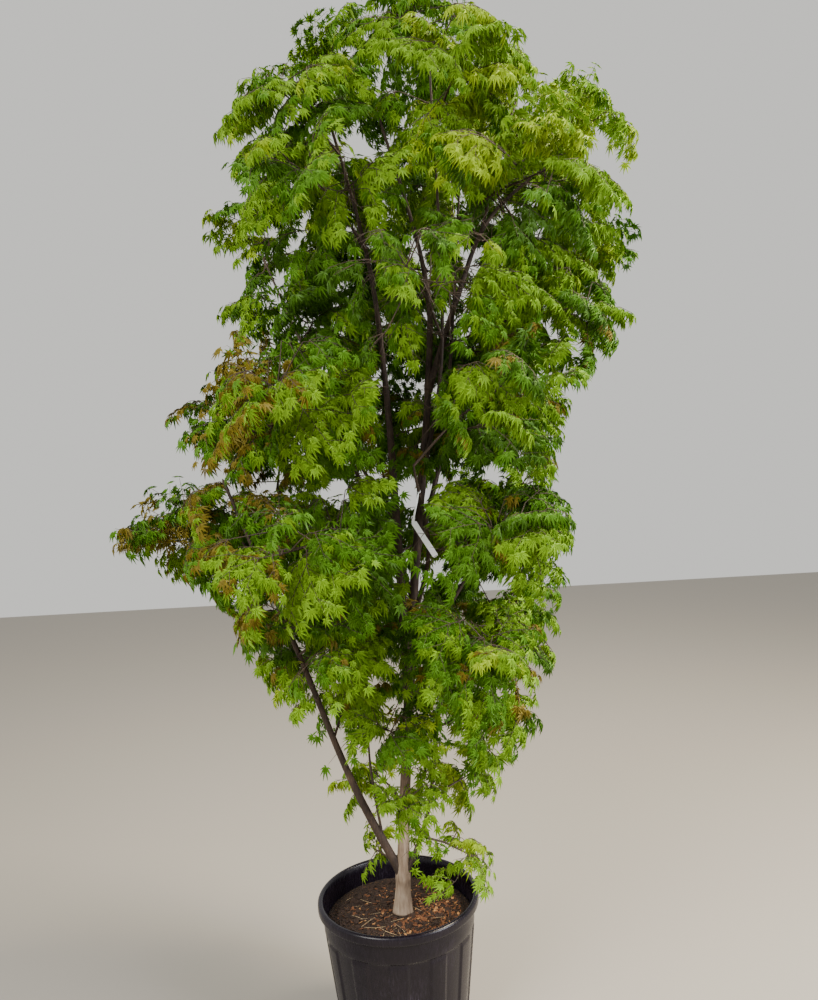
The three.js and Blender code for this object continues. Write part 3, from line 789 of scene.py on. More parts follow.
def smooth_bark(name, steps, coarse, shaded_from=None):
    """Thin maple bark: smooth, drawn out along the stem, with small raised pores and shallow cracks.

    From a height given in metres, it is painted darker the higher it is: painted shade, as under the crown's
    leaves.
    """
    material, shader, tree = finish_named(name, roughness=0.78)
    place = add_node(tree, "ShaderNodeTexCoord").outputs["Object"]
    drawn = add_node(tree, "ShaderNodeMapping", {"Scale": (1, 1, 0.16)}, {"Vector": place})
    # Streaks about 6 mm broad and 40 mm long
    streaks = add_node(
        tree, "ShaderNodeTexNoise", {"Scale": 160 / coarse, "Detail": 5.0, "Roughness": 0.6},
        {"Vector": drawn})
    # Patches about 60 mm across, where the bark has weathered paler
    patches = add_node(tree, "ShaderNodeTexNoise", {"Scale": 16.0, "Detail": 2.0}, {"Vector": place})
    paler = add_node(tree, "ShaderNodeMath", {"operation": "MULTIPLY", 1: 0.45}, {0: patches})
    shade = add_node(
        tree, "ShaderNodeMath", {"operation": "MULTIPLY_ADD", 1: 0.55}, {0: streaks, 2: paler})
    # Painted shade: the bark is darkened upwards from a height, as in the shade of the crown
    if shaded_from:
        height = add_node(tree, "ShaderNodeSeparateXYZ", links={"Vector": place}).outputs["Z"]
        painted_shade = add_node(
            tree, "ShaderNodeMapRange",
            {1: shaded_from, 2: shaded_from + SHADED_OVER, 3: 0.0, 4: PAINTED_SHADE_DEPTH}, {"Value": height})
        shade = add_node(tree, "ShaderNodeMath", {"operation": "ADD"}, {0: shade, 1: painted_shade})
    # Pores lie across the stem, about 2 mm long
    flat = add_node(tree, "ShaderNodeMapping", {"Scale": (1, 1, 3)}, {"Vector": place})
    pores = add_node(tree, "ShaderNodeTexVoronoi", {"Scale": 150.0, "Randomness": 1.0}, {"Vector": flat})
    pits = add_node(tree, "ShaderNodeMapRange", {1: 0.0, 2: 0.28, 3: 1.0, 4: 0.0}, {"Value": pores})
    relief = add_node(
        tree, "ShaderNodeMath", {"operation": "MULTIPLY_ADD", 1: 0.35}, {0: pits, 2: streaks})
    bump = add_node(tree, "ShaderNodeBump", {"Strength": 0.55, "Distance": 0.0012}, {"Height": relief})
    link_up(tree, shader, {"Base Color": colour_steps(tree, shade, steps), "Normal": bump})
    return material


def pot_plastic():
    """Blow-moulded black polyethylene, scuffed and dusty: dark, a little blue, with a soft broad shine."""
    material, shader, tree = finish_named("black_pot_plastic", ior=1.5, specular_ior_level=0.3)
    place = add_node(tree, "ShaderNodeTexCoord").outputs["Object"]
    # Dust and wear in patches about 120 mm across
    dust = add_node(
        tree, "ShaderNodeTexNoise", {"Scale": 8.0, "Detail": 6.0, "Roughness": 0.62}, {"Vector": place})
    # Scuffs about 1 mm broad, drawn down the side
    drawn = add_node(tree, "ShaderNodeMapping", {"Scale": (1, 1, 0.22)}, {"Vector": place})
    scuffs = add_node(tree, "ShaderNodeTexNoise", {"Scale": 220.0, "Detail": 4.0}, {"Vector": drawn})
    worn = add_node(tree, "ShaderNodeMath", {"operation": "MULTIPLY"}, {0: dust, 1: scuffs})
    base = colour_steps(
        tree, worn, [(0.16, "#110c14"), (0.3, "#18121b"), (0.42, "#28222c"), (0.6, "#575060")])
    rough = add_node(tree, "ShaderNodeMapRange", {1: 0.15, 2: 0.5, 3: 0.2, 4: 0.44}, {"Value": worn})
    bump = add_node(tree, "ShaderNodeBump", {"Strength": 0.18, "Distance": 0.0006}, {"Height": scuffs})
    link_up(tree, shader, {"Base Color": base, "Roughness": rough, "Normal": bump})
    return material


def bark_compost():
    """Damp potting compost of composted bark: dark crumbs 2 to 8 mm across, with paler fibres."""
    material, shader, tree = finish_named("bark_compost", roughness=0.93)
    place = add_node(tree, "ShaderNodeTexCoord").outputs["Object"]
    crumbs = add_node(tree, "ShaderNodeTexVoronoi", {"Scale": 190.0}, {"Vector": place})
    grit = add_node(tree, "ShaderNodeTexNoise", {"Scale": 420.0, "Detail": 4.0}, {"Vector": place})
    blend = add_node(tree, "ShaderNodeMath", {"operation": "MULTIPLY"}, {0: crumbs, 1: grit})
    base = colour_steps(
        tree, blend, [(0.05, "#4a3323"), (0.16, "#2e1e14"), (0.3, "#1c120c"), (0.5, "#6a4a2e")])
    bump = add_node(tree, "ShaderNodeBump", {"Strength": 0.9, "Distance": 0.004}, {"Height": crumbs})
    link_up(tree, shader, {"Base Color": base, "Normal": bump})
    return material


def litter_finish(name, code):
    """Dry bark chips and straw on the soil: dull and fibrous. Its colour is plain."""
    return finish_named(name, base_color=linear(code), roughness=0.9)[0]


def label_plastic():
    """White polypropylene sheet for a blank plant label: smooth, with a satin shine."""
    return finish_named("white_label_plastic", base_color=linear("#f6f7f6"), roughness=0.38, ior=1.49)[0]


def pale_floor():
    """The studio's matt floor, a warm light grey. Its colour is plain."""
    return finish_named("pale_floor", base_color=linear("#a09a91"), roughness=0.85)[0]


# Making pieces
MERGE_WITHIN = 0.00005


def add_object(name, data):
    thing = bpy.data.objects.new(name, data)
    bpy.context.collection.objects.link(thing)
    return thing


def remove_object(thing):
    """Removes an object together with its mesh."""
    mesh = thing.data
    bpy.data.objects.remove(thing)
    bpy.data.meshes.remove(mesh)


def shape_from(name, points, faces, material, smooth=True):
    """An object from points in millimetres, at the origin, unturned and unscaled."""
    mesh = bpy.data.meshes.new(name)
    mesh.from_pydata([tuple(p) for p in np.asarray(points) * MM], [], faces)
    mesh.update()
    if smooth:
        mesh.polygons.foreach_set("use_smooth", [True] * len(mesh.polygons))
    mesh.materials.append(material)
    return add_object(name, mesh)


def piece_from(name, points, faces, material, smooth=True):
    piece = shape_from(name, points, faces, material, smooth)
    return piece


def grid_faces(rows, columns):
    """Four-sided faces of rows of points, each row closed around."""
    faces = []
    for i in range(rows - 1):
        for j in range(columns):
            k = (j + 1) % columns
            faces.append((i * columns + j, i * columns + k, (i + 1) * columns + k, (i + 1) * columns + j))
    return faces


def plain_copy(maker, name):
    """The finished mesh of an object whose modifiers made it, as a piece of its own."""
    graph = bpy.context.evaluated_depsgraph_get()
    mesh = bpy.data.meshes.new_from_object(maker.evaluated_get(graph), depsgraph=graph)
    for extra in (*POINT_VALUES, "thickness"):
        if extra in mesh.attributes:
            mesh.attributes.remove(mesh.attributes[extra])
    mesh.name = name
    remove_object(maker)
    piece = add_object(name, mesh)
    return piece


def grown_piece(name, mesh, tree, inputs):
    """The piece that a node tree makes of a mesh, with the tree's named inputs set."""
    maker = add_object(mesh.name, mesh)
    modifier = maker.modifiers.new(mesh.name, "NODES")
    modifier.node_group = tree
    for item in tree.interface.items_tree:
        if item.in_out == "INPUT" and item.name in inputs:
            modifier[item.identifier] = inputs[item.name]
    maker.update_tag()
    bpy.context.view_layer.update()
    return plain_copy(maker, name)


# What the points of a scattered piece carry, and of which kind each value is
POINT_VALUES = {"turn": "QUATERNION", "size": "FLOAT", "form": "INT"}


def tree_with(name, sockets):
    """A new node tree that takes and gives geometry, with its other named inputs."""
    tree = bpy.data.node_groups.new(name, "GeometryNodeTree")
    tree.interface.new_socket("Geometry", in_out="INPUT", socket_type="NodeSocketGeometry")
    for socket, kind in sockets.items():
        tree.interface.new_socket(socket, in_out="INPUT", socket_type=kind)
    tree.interface.new_socket("Geometry", in_out="OUTPUT", socket_type="NodeSocketGeometry")
    return tree, add_node(tree, "NodeGroupInput").outputs


def end_tree(tree, shape, finish):
    """The end of a node tree: its shape as one real mesh with its finish."""
    real = add_node(tree, "GeometryNodeRealizeInstances", links={"Geometry": shape})
    done = add_node(tree, "GeometryNodeSetMaterial", links={"Geometry": real, "Material": finish})
    add_node(tree, "NodeGroupOutput", links={"Geometry": done})
    return tree


def values_of_points(tree, kinds):
    """The values that the points carry, by name, for a tree to use."""
    reader = "GeometryNodeInputNamedAttribute"
    return [
        add_node(tree, reader, {"data_type": kind, "Name": name}).outputs["Attribute"]
        for name, kind in kinds.items()]


def scatter_tree():
    """Sets a form on every point, turned and sized as the point says, and makes them one mesh."""
    tree, given = tree_with("scatter_forms", {
        "Forms": "NodeSocketCollection", "Form Length": "NodeSocketFloat", "Finish": "NodeSocketMaterial"})
    forms = add_node(
        tree, "GeometryNodeCollectionInfo", {"Separate Children": True, "Reset Children": True},
        {"Collection": given["Forms"]})
    turn, size, form = values_of_points(tree, POINT_VALUES)
    length = add_node(tree, "ShaderNodeMath", {"operation": "MULTIPLY"}, {0: size, 1: given["Form Length"]})
    placed = add_node(
        tree, "GeometryNodeInstanceOnPoints", {"Pick Instance": True},
        {"Points": given["Geometry"], "Instance": forms, "Instance Index": form, "Rotation": turn,
         "Scale": length})
    return end_tree(tree, placed, given["Finish"])


def twig_tree():
    """Draws a round tapering twig along every line of edges, as thick as its points say."""
    tree, given = tree_with("round_twigs", {"Sides": "NodeSocketInt", "Finish": "NodeSocketMaterial"})
    lines = add_node(tree, "GeometryNodeMeshToCurve", links={"Mesh": given["Geometry"]})
    [thick] = values_of_points(tree, {"thickness": "FLOAT"})
    ring = add_node(
        tree, "GeometryNodeCurvePrimitiveCircle", {"Radius": 1.0}, {"Resolution": given["Sides"]})
    skin = add_node(
        tree, "GeometryNodeCurveToMesh", {"Fill Caps": True},
        {"Curve": lines, "Profile Curve": ring, "Scale": thick})
    return end_tree(tree, skin, given["Finish"])


def points_mesh(name, items):
    """Points with their turn, size and form, for the scatter tree."""
    mesh = bpy.data.meshes.new(name)
    places, turns, sizes, forms = zip(*items)
    mesh.from_pydata([tuple(at * MM) for at in places], [], [])
    numbers = {"turn": [part for turn in turns for part in turn], "size": sizes, "form": forms}
    for value, kind in POINT_VALUES.items():
        mesh.attributes.new(value, kind, "POINT").data.foreach_set("value", numbers[value])
    return mesh


def form_collection(name, meshes):
    """The forms that are scattered, in the order of their names. They are no pieces themselves."""
    forms = bpy.data.collections.new(name)
    for i, (points, faces) in enumerate(meshes):
        mesh = bpy.data.meshes.new(f"{name}_{i}")
        mesh.from_pydata(points, [], faces)
        forms.objects.link(bpy.data.objects.new(f"{name}_{i}", mesh))
    return forms


def clear_forms(forms):
    for form in list(forms.objects):
        remove_object(form)
    bpy.data.collections.remove(forms)


# Leaves. A form's length unit is its middle lobe, and it heads along +X from its stalk's foot.
# Of each form: the lobes' angles and lengths, how far the tips droop, how far a lobe folds, the stalk
LEAF_FORMS = (
    (((0, 1), (28, 0.92), (58, 0.74), (98, 0.42)), 0.5, 0.05, 0.42),
    (((0, 1), (30, 0.88), (64, 0.66), (106, 0.36)), 0.8, 0.08, 0.36),
    (((0, 1), (26, 0.94), (54, 0.78), (92, 0.46)), 0.34, 0.04, 0.48),
    (((0, 1), (33, 0.86), (70, 0.6)), 0.65, 0.07, 0.3),
)
LOBE_WIDTH = 0.105
LOBE_TAPER = 0.3
LOBE_BROADEST = 0.42
STALK_WIDTH = 0.03


def palmate_leaf(lobes, droop, fold, stalk):
    """A leaf of narrow pointed lobes that spread from its stalk: two faces a lobe, folded along its rib."""
    points = [(stalk, 0, 0), (0, -STALK_WIDTH / 2, 0), (0, STALK_WIDTH / 2, 0)]
    faces = [(0, 2, 1)]

    def at(angle, r, lift):
        x, y = circle_point(r, math.radians(angle))
        return stalk + x, y, lift - droop * r * r

    for angle, reach in [*lobes, *((-angle, reach) for angle, reach in lobes if angle)]:
        width = LOBE_WIDTH * (1 - LOBE_TAPER + LOBE_TAPER * reach)
        wide = math.degrees(math.atan(width / (LOBE_BROADEST * reach)))
        right = len(points)
        points.append(at(angle - wide, LOBE_BROADEST * reach, fold))
        points.append(at(angle, reach, 0))
        points.append(at(angle + wide, LOBE_BROADEST * reach, fold))
        faces.extend([(0, right, right + 1), (0, right + 1, right + 2)])
    return points, faces


# The bark's skin of one limb
THICK_LIMB = 8
THICK_AT = 0.1
LENGTH_SAMPLES = 200
SKIN_SIDES = (28, 18, 12)  # of the trunk, of thick limbs and of thin ones
SKIN_STEPS = (7, 11)  # of thick limbs and of thin ones
COLLAR = (0.4, 2.2)  # how much a limb broadens at its foot, and over how many radii
GROWTH_RINGS = (70, 7, 0.045)  # one for each so much of the limb, their length and how proud they are
GROWTH_RING_SPAN = (0.02, 0.98)
RIDGES = (0.022, 0.014)
RIDGE_TWIST = 2.2
FLARE_RIDGES = (0.05, 0.03)
FLARE_REACH = 0.8 * ROOT_FLARE_HEIGHT
GRAIN = 0.035
GRAIN_SIZES = (5, 5, 26)
FORK_SWELL = 0.3
FORK_REACH = (1.7, 5)
LIMB_END = (0.6, 0.8)  # the last ring's share of the radius, and how far the tip is beyond it


def two_waves(turn, heights, starts):
    """A wave with three humps and a wave with five, round a limb."""
    return heights[0] * math.sin(3 * turn + starts[0]) + heights[1] * math.sin(5 * turn + starts[1])


def limb_skin(limb, name, seed):
    """Rings along the limb with ridges, growth rings, collars at the forks and a flared foot."""
    curve = limb["curve"]
    rough = np.array([curve.point(i / LENGTH_SAMPLES) for i in range(LENGTH_SAMPLES + 1)])
    length = np.linalg.norm(np.diff(rough, axis=0), axis=1).sum()
    thick = limb["radius"](THICK_AT)
    sides = SKIN_SIDES[0 if name == "trunk" else 1 if thick > THICK_LIMB else 2]
    steps = int(length / SKIN_STEPS[0 if thick > THICK_LIMB else 1])
    chance = Chance(seed)
    phase = [chance.between(0, 2 * math.pi) for _ in range(4)]
    ring_pitch, ring_length, ring_proud = GROWTH_RINGS
    rings = [chance.between(*GROWTH_RING_SPAN) for _ in range(int(length / ring_pitch))]
    points = []
    across = np.array([1.0, 0.0, 0.0])
    for i in range(steps + 1):
        t = i / steps
        centre = curve.point(t)
        along = curve.heading(t)
        across = unit(across - (across @ along) * along)
        other = cross(along, across)
        radius = limb["radius"](t)
        if limb["parent"]:
            # The limb broadens into its collar where it leaves its parent.
            radius *= 1 + COLLAR[0] * math.exp(-t * length / (COLLAR[1] * thick))
        swell = sum(math.exp(-((t - ring) * length / ring_length) ** 2) for ring in rings)
        radius *= 1 + ring_proud * min(swell, 1)
        if i == steps:
            radius *= LIMB_END[0]
        flare = 0.0 if limb["parent"] else math.exp(-(centre[2] - SOIL_TOP) / FLARE_REACH)
        for j in range(sides):
            turn = 2 * math.pi * j / sides
            ridge = two_waves(turn, RIDGES, (phase[0] + RIDGE_TWIST * t, phase[1]))
            ridge += flare * two_waves(turn, FLARE_RIDGES, phase[2:])
            out = math.cos(turn) * across + math.sin(turn) * other
            here = centre + radius * out
            push = radius * ridge + GRAIN * radius * noise.noise(Vector(here / GRAIN_SIZES))
            for fork in limb["forks"]:
                gap = here - fork["at"] - fork["towards"] * radius
                reach = FORK_REACH[0] * fork["radius"] + FORK_REACH[1]
                push += FORK_SWELL * fork["radius"] * math.exp(-(gap @ gap) / reach ** 2)
            points.append(here + push * out)
    faces = grid_faces(steps + 1, sides)
    foot, tip = len(points), len(points) + 1
    points.append(curve.point(0))
    points.append(curve.point(1) + LIMB_END[1] * limb["radius"](1) * curve.heading(1))
    last = steps * sides
    for j in range(sides):
        k = (j + 1) % sides
        faces.append((foot, k, j))
        faces.append((tip, last + j, last + k))
    return np.array(points), faces


# The pot's skin
POLE = 0.02
POT_COLUMNS = 360
WALL_ROWS = 54
BAND_PROUD = 4
ROLL = 8
ROLL_TURNS = (20, 40, 60, 80, 100, 125, 150)
RIB_PITCH = 2 * math.pi / RIB_COUNT
RIB_ROUND = 2.5
RIB_RISES = (-6, 2)  # round its foot
RIB_FALLS = (-9, -3)  # round its top
OUT_OF_ROUND = 0.5
OUT_OF_ROUND_TURN = 0.7
DRAIN_BELOW = 10
DRAIN_BEYOND = 40
BLOCK_FACES = ((0, 3, 2, 1), (4, 5, 6, 7), (0, 1, 5, 4), (1, 2, 6, 5), (2, 3, 7, 6), (3, 0, 4, 7))


def pot_wall_at(z):
    return mix(POT_FOOT_RADIUS, POT_BAND_RADIUS, z / (POT_HEIGHT - POT_RIM_DEPTH))


def pot_profile():
    """How many rows are under the ribs, and all rows' radii and heights.

    They run from the middle of the underside outwards, up, over the rim and down to the middle of the floor.
    """
    under = POT_HEIGHT - POT_RIM_DEPTH
    inner = POT_BAND_RADIUS - POT_WALL
    step = pot_wall_at(RIB_TOP) + BAND_PROUD
    foot = [(POLE, 0), (POT_FOOT_RADIUS - 8, 0), (POT_FOOT_RADIUS - 2, 0.6), (POT_FOOT_RADIUS, 3)]
    wall = [(pot_wall_at(z), z) for z in np.linspace(6, RIB_TOP - 2, WALL_ROWS)]
    band = [(step - 3.4, RIB_TOP), (step - 0.8, RIB_TOP + 3), (step, RIB_TOP + 5)]
    band += [(mix(step, POT_BAND_RADIUS, t), mix(RIB_TOP + 5, under, t)) for t in (0.3, 0.6, 0.9, 1)]
    rim = [(POT_RIM_RADIUS - back, under + up) for back, up in ((6, 1), (2, 2.5), (0.3, 5), (0, 9))]
    rim.append((POT_RIM_RADIUS, POT_HEIGHT - 9))
    for degrees in ROLL_TURNS:
        out, up = circle_point(ROLL, math.radians(degrees))
        rim.append((POT_RIM_RADIUS - ROLL + out, POT_HEIGHT - ROLL + up))
    inside = [(inner + 1, under), (inner, under - 6)]
    inside += [(pot_wall_at(z) - POT_WALL, z) for z in (300, 200, 100, POT_FLOOR + 6)]
    inside += [(pot_wall_at(POT_FLOOR) - POT_WALL - 4, POT_FLOOR), (POLE, POT_FLOOR)]
    return len(foot), [*foot, *wall, *band, *rim, *inside]


def rib_at(radius, z, turn):
    """How far the ribs stand proud of the wall at a place."""
    off = abs((turn / RIB_PITCH + 0.5) % 1 - 0.5) * RIB_PITCH * radius
    half = RIB_SHARE * RIB_PITCH * radius / 2
    upright = ease(*RIB_RISES, z - RIB_FOOT) * (1 - ease(*RIB_FALLS, z - RIB_TOP))
    return RIB_PROUD * (1 - ease(half - RIB_ROUND, half + RIB_ROUND, off)) * upright


def drain_blocks(material):
    """The blocks that cut the drain notches out of the foot of the wall."""
    points = []
    faces = []
    for i in range(DRAIN_COUNT):
        turn = RIB_PITCH * 0.5 + 2 * math.pi * i / DRAIN_COUNT
        start = len(points)
        for radius in (POT_FOOT_RADIUS - POT_WALL, POT_FOOT_RADIUS + DRAIN_BEYOND):
            x, y = circle_point(radius, turn)
            for side, z in (
                    (-0.5, -DRAIN_BELOW), (0.5, -DRAIN_BELOW), (0.5, DRAIN_HEIGHT), (-0.5, DRAIN_HEIGHT)):
                along_x, along_y = circle_point(side * DRAIN_WIDTH, turn + math.pi / 2)
                points.append((x + along_x, y + along_y, z))
        faces.extend(tuple(start + corner for corner in face) for face in BLOCK_FACES)
    return shape_from("drain_notches", points, faces, material, smooth=False)


def make_pot(material):
    """One closed shell: twelve soft-edged ribs, a plain band, a rolled rim and drain notches."""
    rows_under, profile = pot_profile()
    points = []
    for row, (radius, z) in enumerate(profile):
        for j in range(POT_COLUMNS):
            turn = 2 * math.pi * j / POT_COLUMNS
            push = rib_at(radius, z, turn) if rows_under <= row < rows_under + WALL_ROWS else 0.0
            # Thin plastic is never quite round.
            push += OUT_OF_ROUND * math.sin(2 * turn + OUT_OF_ROUND_TURN) * z / POT_HEIGHT
            points.append((*circle_point(radius + push, turn), z))
    pot = piece_from("ribbed_pot", points, grid_faces(len(profile), POT_COLUMNS), material)
    close_shell(pot)
    blocks = drain_blocks(material)
    cut = pot.modifiers.new("notches", "BOOLEAN")
    cut.operation = "DIFFERENCE"
    cut.solver = "EXACT"
    cut.object = blocks
    done = plain_copy(pot, "ribbed_pot")
    remove_object(blocks)
    return done


def close_shell(piece):
    """Merges points that lie together, as at a turned shell's poles, and turns all faces outwards."""
    shell = bmesh.new()
    shell.from_mesh(piece.data)
    bmesh.ops.remove_doubles(shell, verts=shell.verts, dist=MERGE_WITHIN)
    bmesh.ops.recalc_face_normals(shell, faces=shell.faces)
    shell.to_mesh(piece.data)
    shell.free()


# Soil and litter
SOIL_COLUMNS = 180
SOIL_RINGS = 46
SOIL_CROWN = 0.3
SOIL_BUMPS = ((2.6, 42, 3.1), (1.3, 14, 7.7), (0.8, 5, 1.3))  # how high, how broad, and where in the noise
CHIP_OUTLINE = ((-0.5, -0.3), (-0.1, -0.5), (0.4, -0.42), (0.5, 0.1), (0.2, 0.5), (-0.42, 0.36))
CHIP_RAGGED = (0.08, 0.1)
CHIP_THICK = (0.6, 1.2)
CHIP_BEND = 0.25
STRAW_PLACES = ((-0.5, 0.006), (-0.15, 0.011), (0.2, 0.011), (0.5, 0.006))  # along it, and its radius there
STRAW_CORNERS = (0.5, 2.6, 4.7)
LITTER_REACH = 176
LITTER_LIFT = 0.06
LITTER_GATHERED = 70
TRUNK_ROOM = 34


def soil_height(x, y):
    """The soil's uneven surface: a little crown round the trunk, a fall to the wall, and crumbs."""
    edge = pot_wall_at(SOIL_TOP) - POT_WALL
    height = SOIL_TOP - SOIL_EDGE_DROP * ease(SOIL_CROWN * edge, edge, math.hypot(x, y))
    for high, broad, where in SOIL_BUMPS:
        height += high * noise.noise(Vector((x / broad, y / broad, where)))
    return height


def make_soil(material):
    """The compost as a closed body, from its flat underside to its surface in rings."""
    foot = pot_wall_at(POT_FLOOR) - POT_WALL - 5
    edge = pot_wall_at(SOIL_TOP - SOIL_EDGE_DROP) - POT_WALL - 2 * CLEAR
    turns = [2 * math.pi * j / SOIL_COLUMNS for j in range(SOIL_COLUMNS)]
    points = [(*circle_point(radius, turn), POT_FLOOR + CLEAR) for radius in (POLE, foot) for turn in turns]
    for i in range(SOIL_RINGS + 1):
        for turn in turns:
            x, y = circle_point(edge * (1 - i / SOIL_RINGS) if i < SOIL_RINGS else POLE, turn)
            points.append((x, y, soil_height(x, y) if i < SOIL_RINGS else soil_height(0, 0)))
    soil = piece_from("bark_compost", points, grid_faces(SOIL_RINGS + 3, SOIL_COLUMNS), material)
    close_shell(soil)
    return soil


def chip_form(chance, width, height):
    """A broken flake of bark: a flat bent slab with ragged ends, one unit long."""
    off_x, off_y = CHIP_RAGGED
    ring = [(x + chance.between(-off_x, off_x), y + chance.between(-off_y, off_y)) for x, y in CHIP_OUTLINE]
    points = []
    for side in (-0.5, 0.5):
        for x, y in ring:
            z = side * height * chance.between(*CHIP_THICK) + CHIP_BEND * x * x
            points.append((x, y * width, z))
    count = len(ring)
    faces = [tuple(range(count - 1, -1, -1)), tuple(range(count, 2 * count)), *grid_faces(2, count)]
    return points, faces


def straw_form(bow):
    """A dry straw: a thin bent bar."""
    points = []
    for x, radius in STRAW_PLACES:
        for turn in STRAW_CORNERS:
            y, z = circle_point(radius, turn)
            points.append((x, y + bow * x * x, z))
    return points, [(2, 1, 0), (9, 10, 11), *grid_faces(len(STRAW_PLACES), len(STRAW_CORNERS))]


def litter_places(count, seed, size, form_count, tilt, towards):
    """Places on the soil clear of the trunk, gathered towards one side where a side is given."""
    chance = Chance(seed)
    items = []
    while len(items) < count:
        x = chance.between(-LITTER_REACH, LITTER_REACH)
        y = chance.between(-LITTER_REACH, LITTER_REACH)
        if math.hypot(x, y) > LITTER_REACH or math.hypot(x - CROWN_AXIS[0], y) < TRUNK_ROOM:
            continue
        if towards and chance() > math.exp(-math.dist((x, y), towards) / LITTER_GATHERED):
            continue
        up = unit(np.array([chance.between(-tilt, tilt), chance.between(-tilt, tilt), 1.0]))
        heading = np.array([*circle_point(1.0, chance.between(0, 2 * math.pi)), 0.0])
        heading = unit(heading - (heading @ up) * up)
        scale = chance.between(*size)
        at = np.array([x, y, soil_height(x, y) + LITTER_LIFT * scale])
        items.append((at, leaf_turn(heading, up), scale, int(chance() * form_count)))
    return items


# The blank label, a strip that is looped round the front bough
LABEL_WIDTH = 14
LABEL_TAIL = 4
LABEL_THICK = 0.5
LABEL_HOLD = 1500
LABEL_CLEAR = 0.8
LABEL_TURNS = 12
LABEL_TWIST = 0.05
LABEL_HANG = 6
LABEL_SAG = 2
LABEL_TOP = np.array([99.0, -296.0, 1429.0])
LABEL_END = np.array([149.0, -306.0, 1342.0])
LABEL_ACROSS = np.array([0.97, 0.2, 0.3])
LABEL_PLATE = ((0, 8), (0.04, LABEL_WIDTH), (0.5, LABEL_WIDTH), (0.98, LABEL_WIDTH), (1, 11))


def label_line(limbs):
    """The label's middle line, from its loop on the bough down to its end, with its width at each point."""
    curve = limbs["bough_front"]["curve"]
    hold = curve.at_height(LABEL_HOLD)
    centre = curve.point(hold)
    radius = limbs["bough_front"]["radius"](hold) + LABEL_CLEAR
    along = curve.heading(hold)
    across = unit(cross(along, UP))
    down = cross(along, across)
    path = []
    for i in range(LABEL_TURNS + 1):
        out, over = circle_point(radius, 2 * math.pi * i / LABEL_TURNS)
        twist = (i - LABEL_TURNS / 2) * LABEL_TWIST
        path.append((centre + out * down + over * across + along * twist, LABEL_TAIL, along))
    bottom = path[-1][0]
    facing = unit(cross(LABEL_END - LABEL_TOP, LABEL_ACROSS))
    flat = unit(cross(LABEL_END - LABEL_TOP, facing))
    for t in (0.2, 0.5, 0.8):
        hang = np.array([0, -LABEL_HANG * 4 * t * (1 - t), 0])
        path.append((mix(bottom, LABEL_TOP, t) + hang, LABEL_TAIL, flat))
    for t, width in LABEL_PLATE:
        path.append((mix(LABEL_TOP, LABEL_END, t) - LABEL_SAG * 4 * t * (1 - t) * facing, width, flat))
    return path


def make_label(path, material):
    """A thin strip along the line, as wide as it says."""
    points = []
    for i, (at, width, side) in enumerate(path):
        along = unit(path[min(i + 1, len(path) - 1)][0] - path[max(i - 1, 0)][0])
        side = unit(side - (side @ along) * along)
        out = cross(along, side)
        for u, v in ((-0.5, -0.5), (0.5, -0.5), (0.5, 0.5), (-0.5, 0.5)):
            points.append(at + u * width * side + v * LABEL_THICK * out)
    last = 4 * (len(path) - 1)
    faces = [*grid_faces(len(path), 4), (3, 2, 1, 0), (last, last + 1, last + 2, last + 3)]
    label = piece_from("blank_label", points, faces, material, smooth=False)
    close_shell(label)
    return label


# The studio
FLOOR_REACH = 9000
FLOOR_CORNERS = ((-1, -1), (1, -1), (1, 1), (-1, 1))
ROOM_LIGHT = 0.94
LAMPS = (  # name, place, aim, size, power and colour
    ("key", (2.9, 0.2, 4.8), (0.0, 0.0, 1.5), 1.4, 450, "#fff1d6"),
    ("front_fill", (-2.6, -3.2, 4.0), (0.0, 0.0, 1.5), 2.6, 290, "#faf9f2"),
    ("right_front", (3.0, -1.6, 2.0), (0.0, 0.0, 0.7), 1.4, 160, "#f4f5fa"),
)


def set_studio():
    """A pale floor and room, soft light from the upper right and the front, and the photograph's camera."""
    corners = [(x * FLOOR_REACH, y * FLOOR_REACH, 0) for x, y in FLOOR_CORNERS]
    floor = shape_from("floor", corners, [(0, 1, 2, 3)], pale_floor(), smooth=False)
    world = bpy.data.worlds.new("pale_room")
    world.use_nodes = True
    background = world.node_tree.nodes["Background"].inputs
    background["Color"].default_value = linear("#ecebe6")
    background["Strength"].default_value = ROOM_LIGHT
    bpy.context.scene.world = world
    for name, place, aim, size, power, code in LAMPS:
        light = bpy.data.lights.new(name, "AREA")
        light.size = size
        light.energy = power
        light.color = linear(code)[:3]
        lamp = add_object(name, light)
        lamp.location = place
        lamp.rotation_euler = (Vector(aim) - Vector(place)).to_track_quat("-Z", "Y").to_euler()
    camera = bpy.data.cameras.new("camera")
    camera.lens = LENS
    camera.sensor_width = LENS_SENSOR
    eye = add_object("camera", camera)
    eye.location = EYE * MM
    # It looks almost level and is rolled a little to the right, as the slope of the pot's rim shows.
    pitch = Matrix.Rotation(math.radians(EYE_PITCH), 3, "X")
    roll = Matrix.Rotation(math.radians(EYE_ROLL), 3, "Z")
    eye.rotation_euler = (pitch @ roll).to_euler()
    bpy.context.scene.camera = eye


set_studio()

pot = make_pot(pot_plastic())
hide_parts("nursery_pot")
soil = make_soil(bark_compost())
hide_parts("potting_soil")
pieces = [pot, soil]

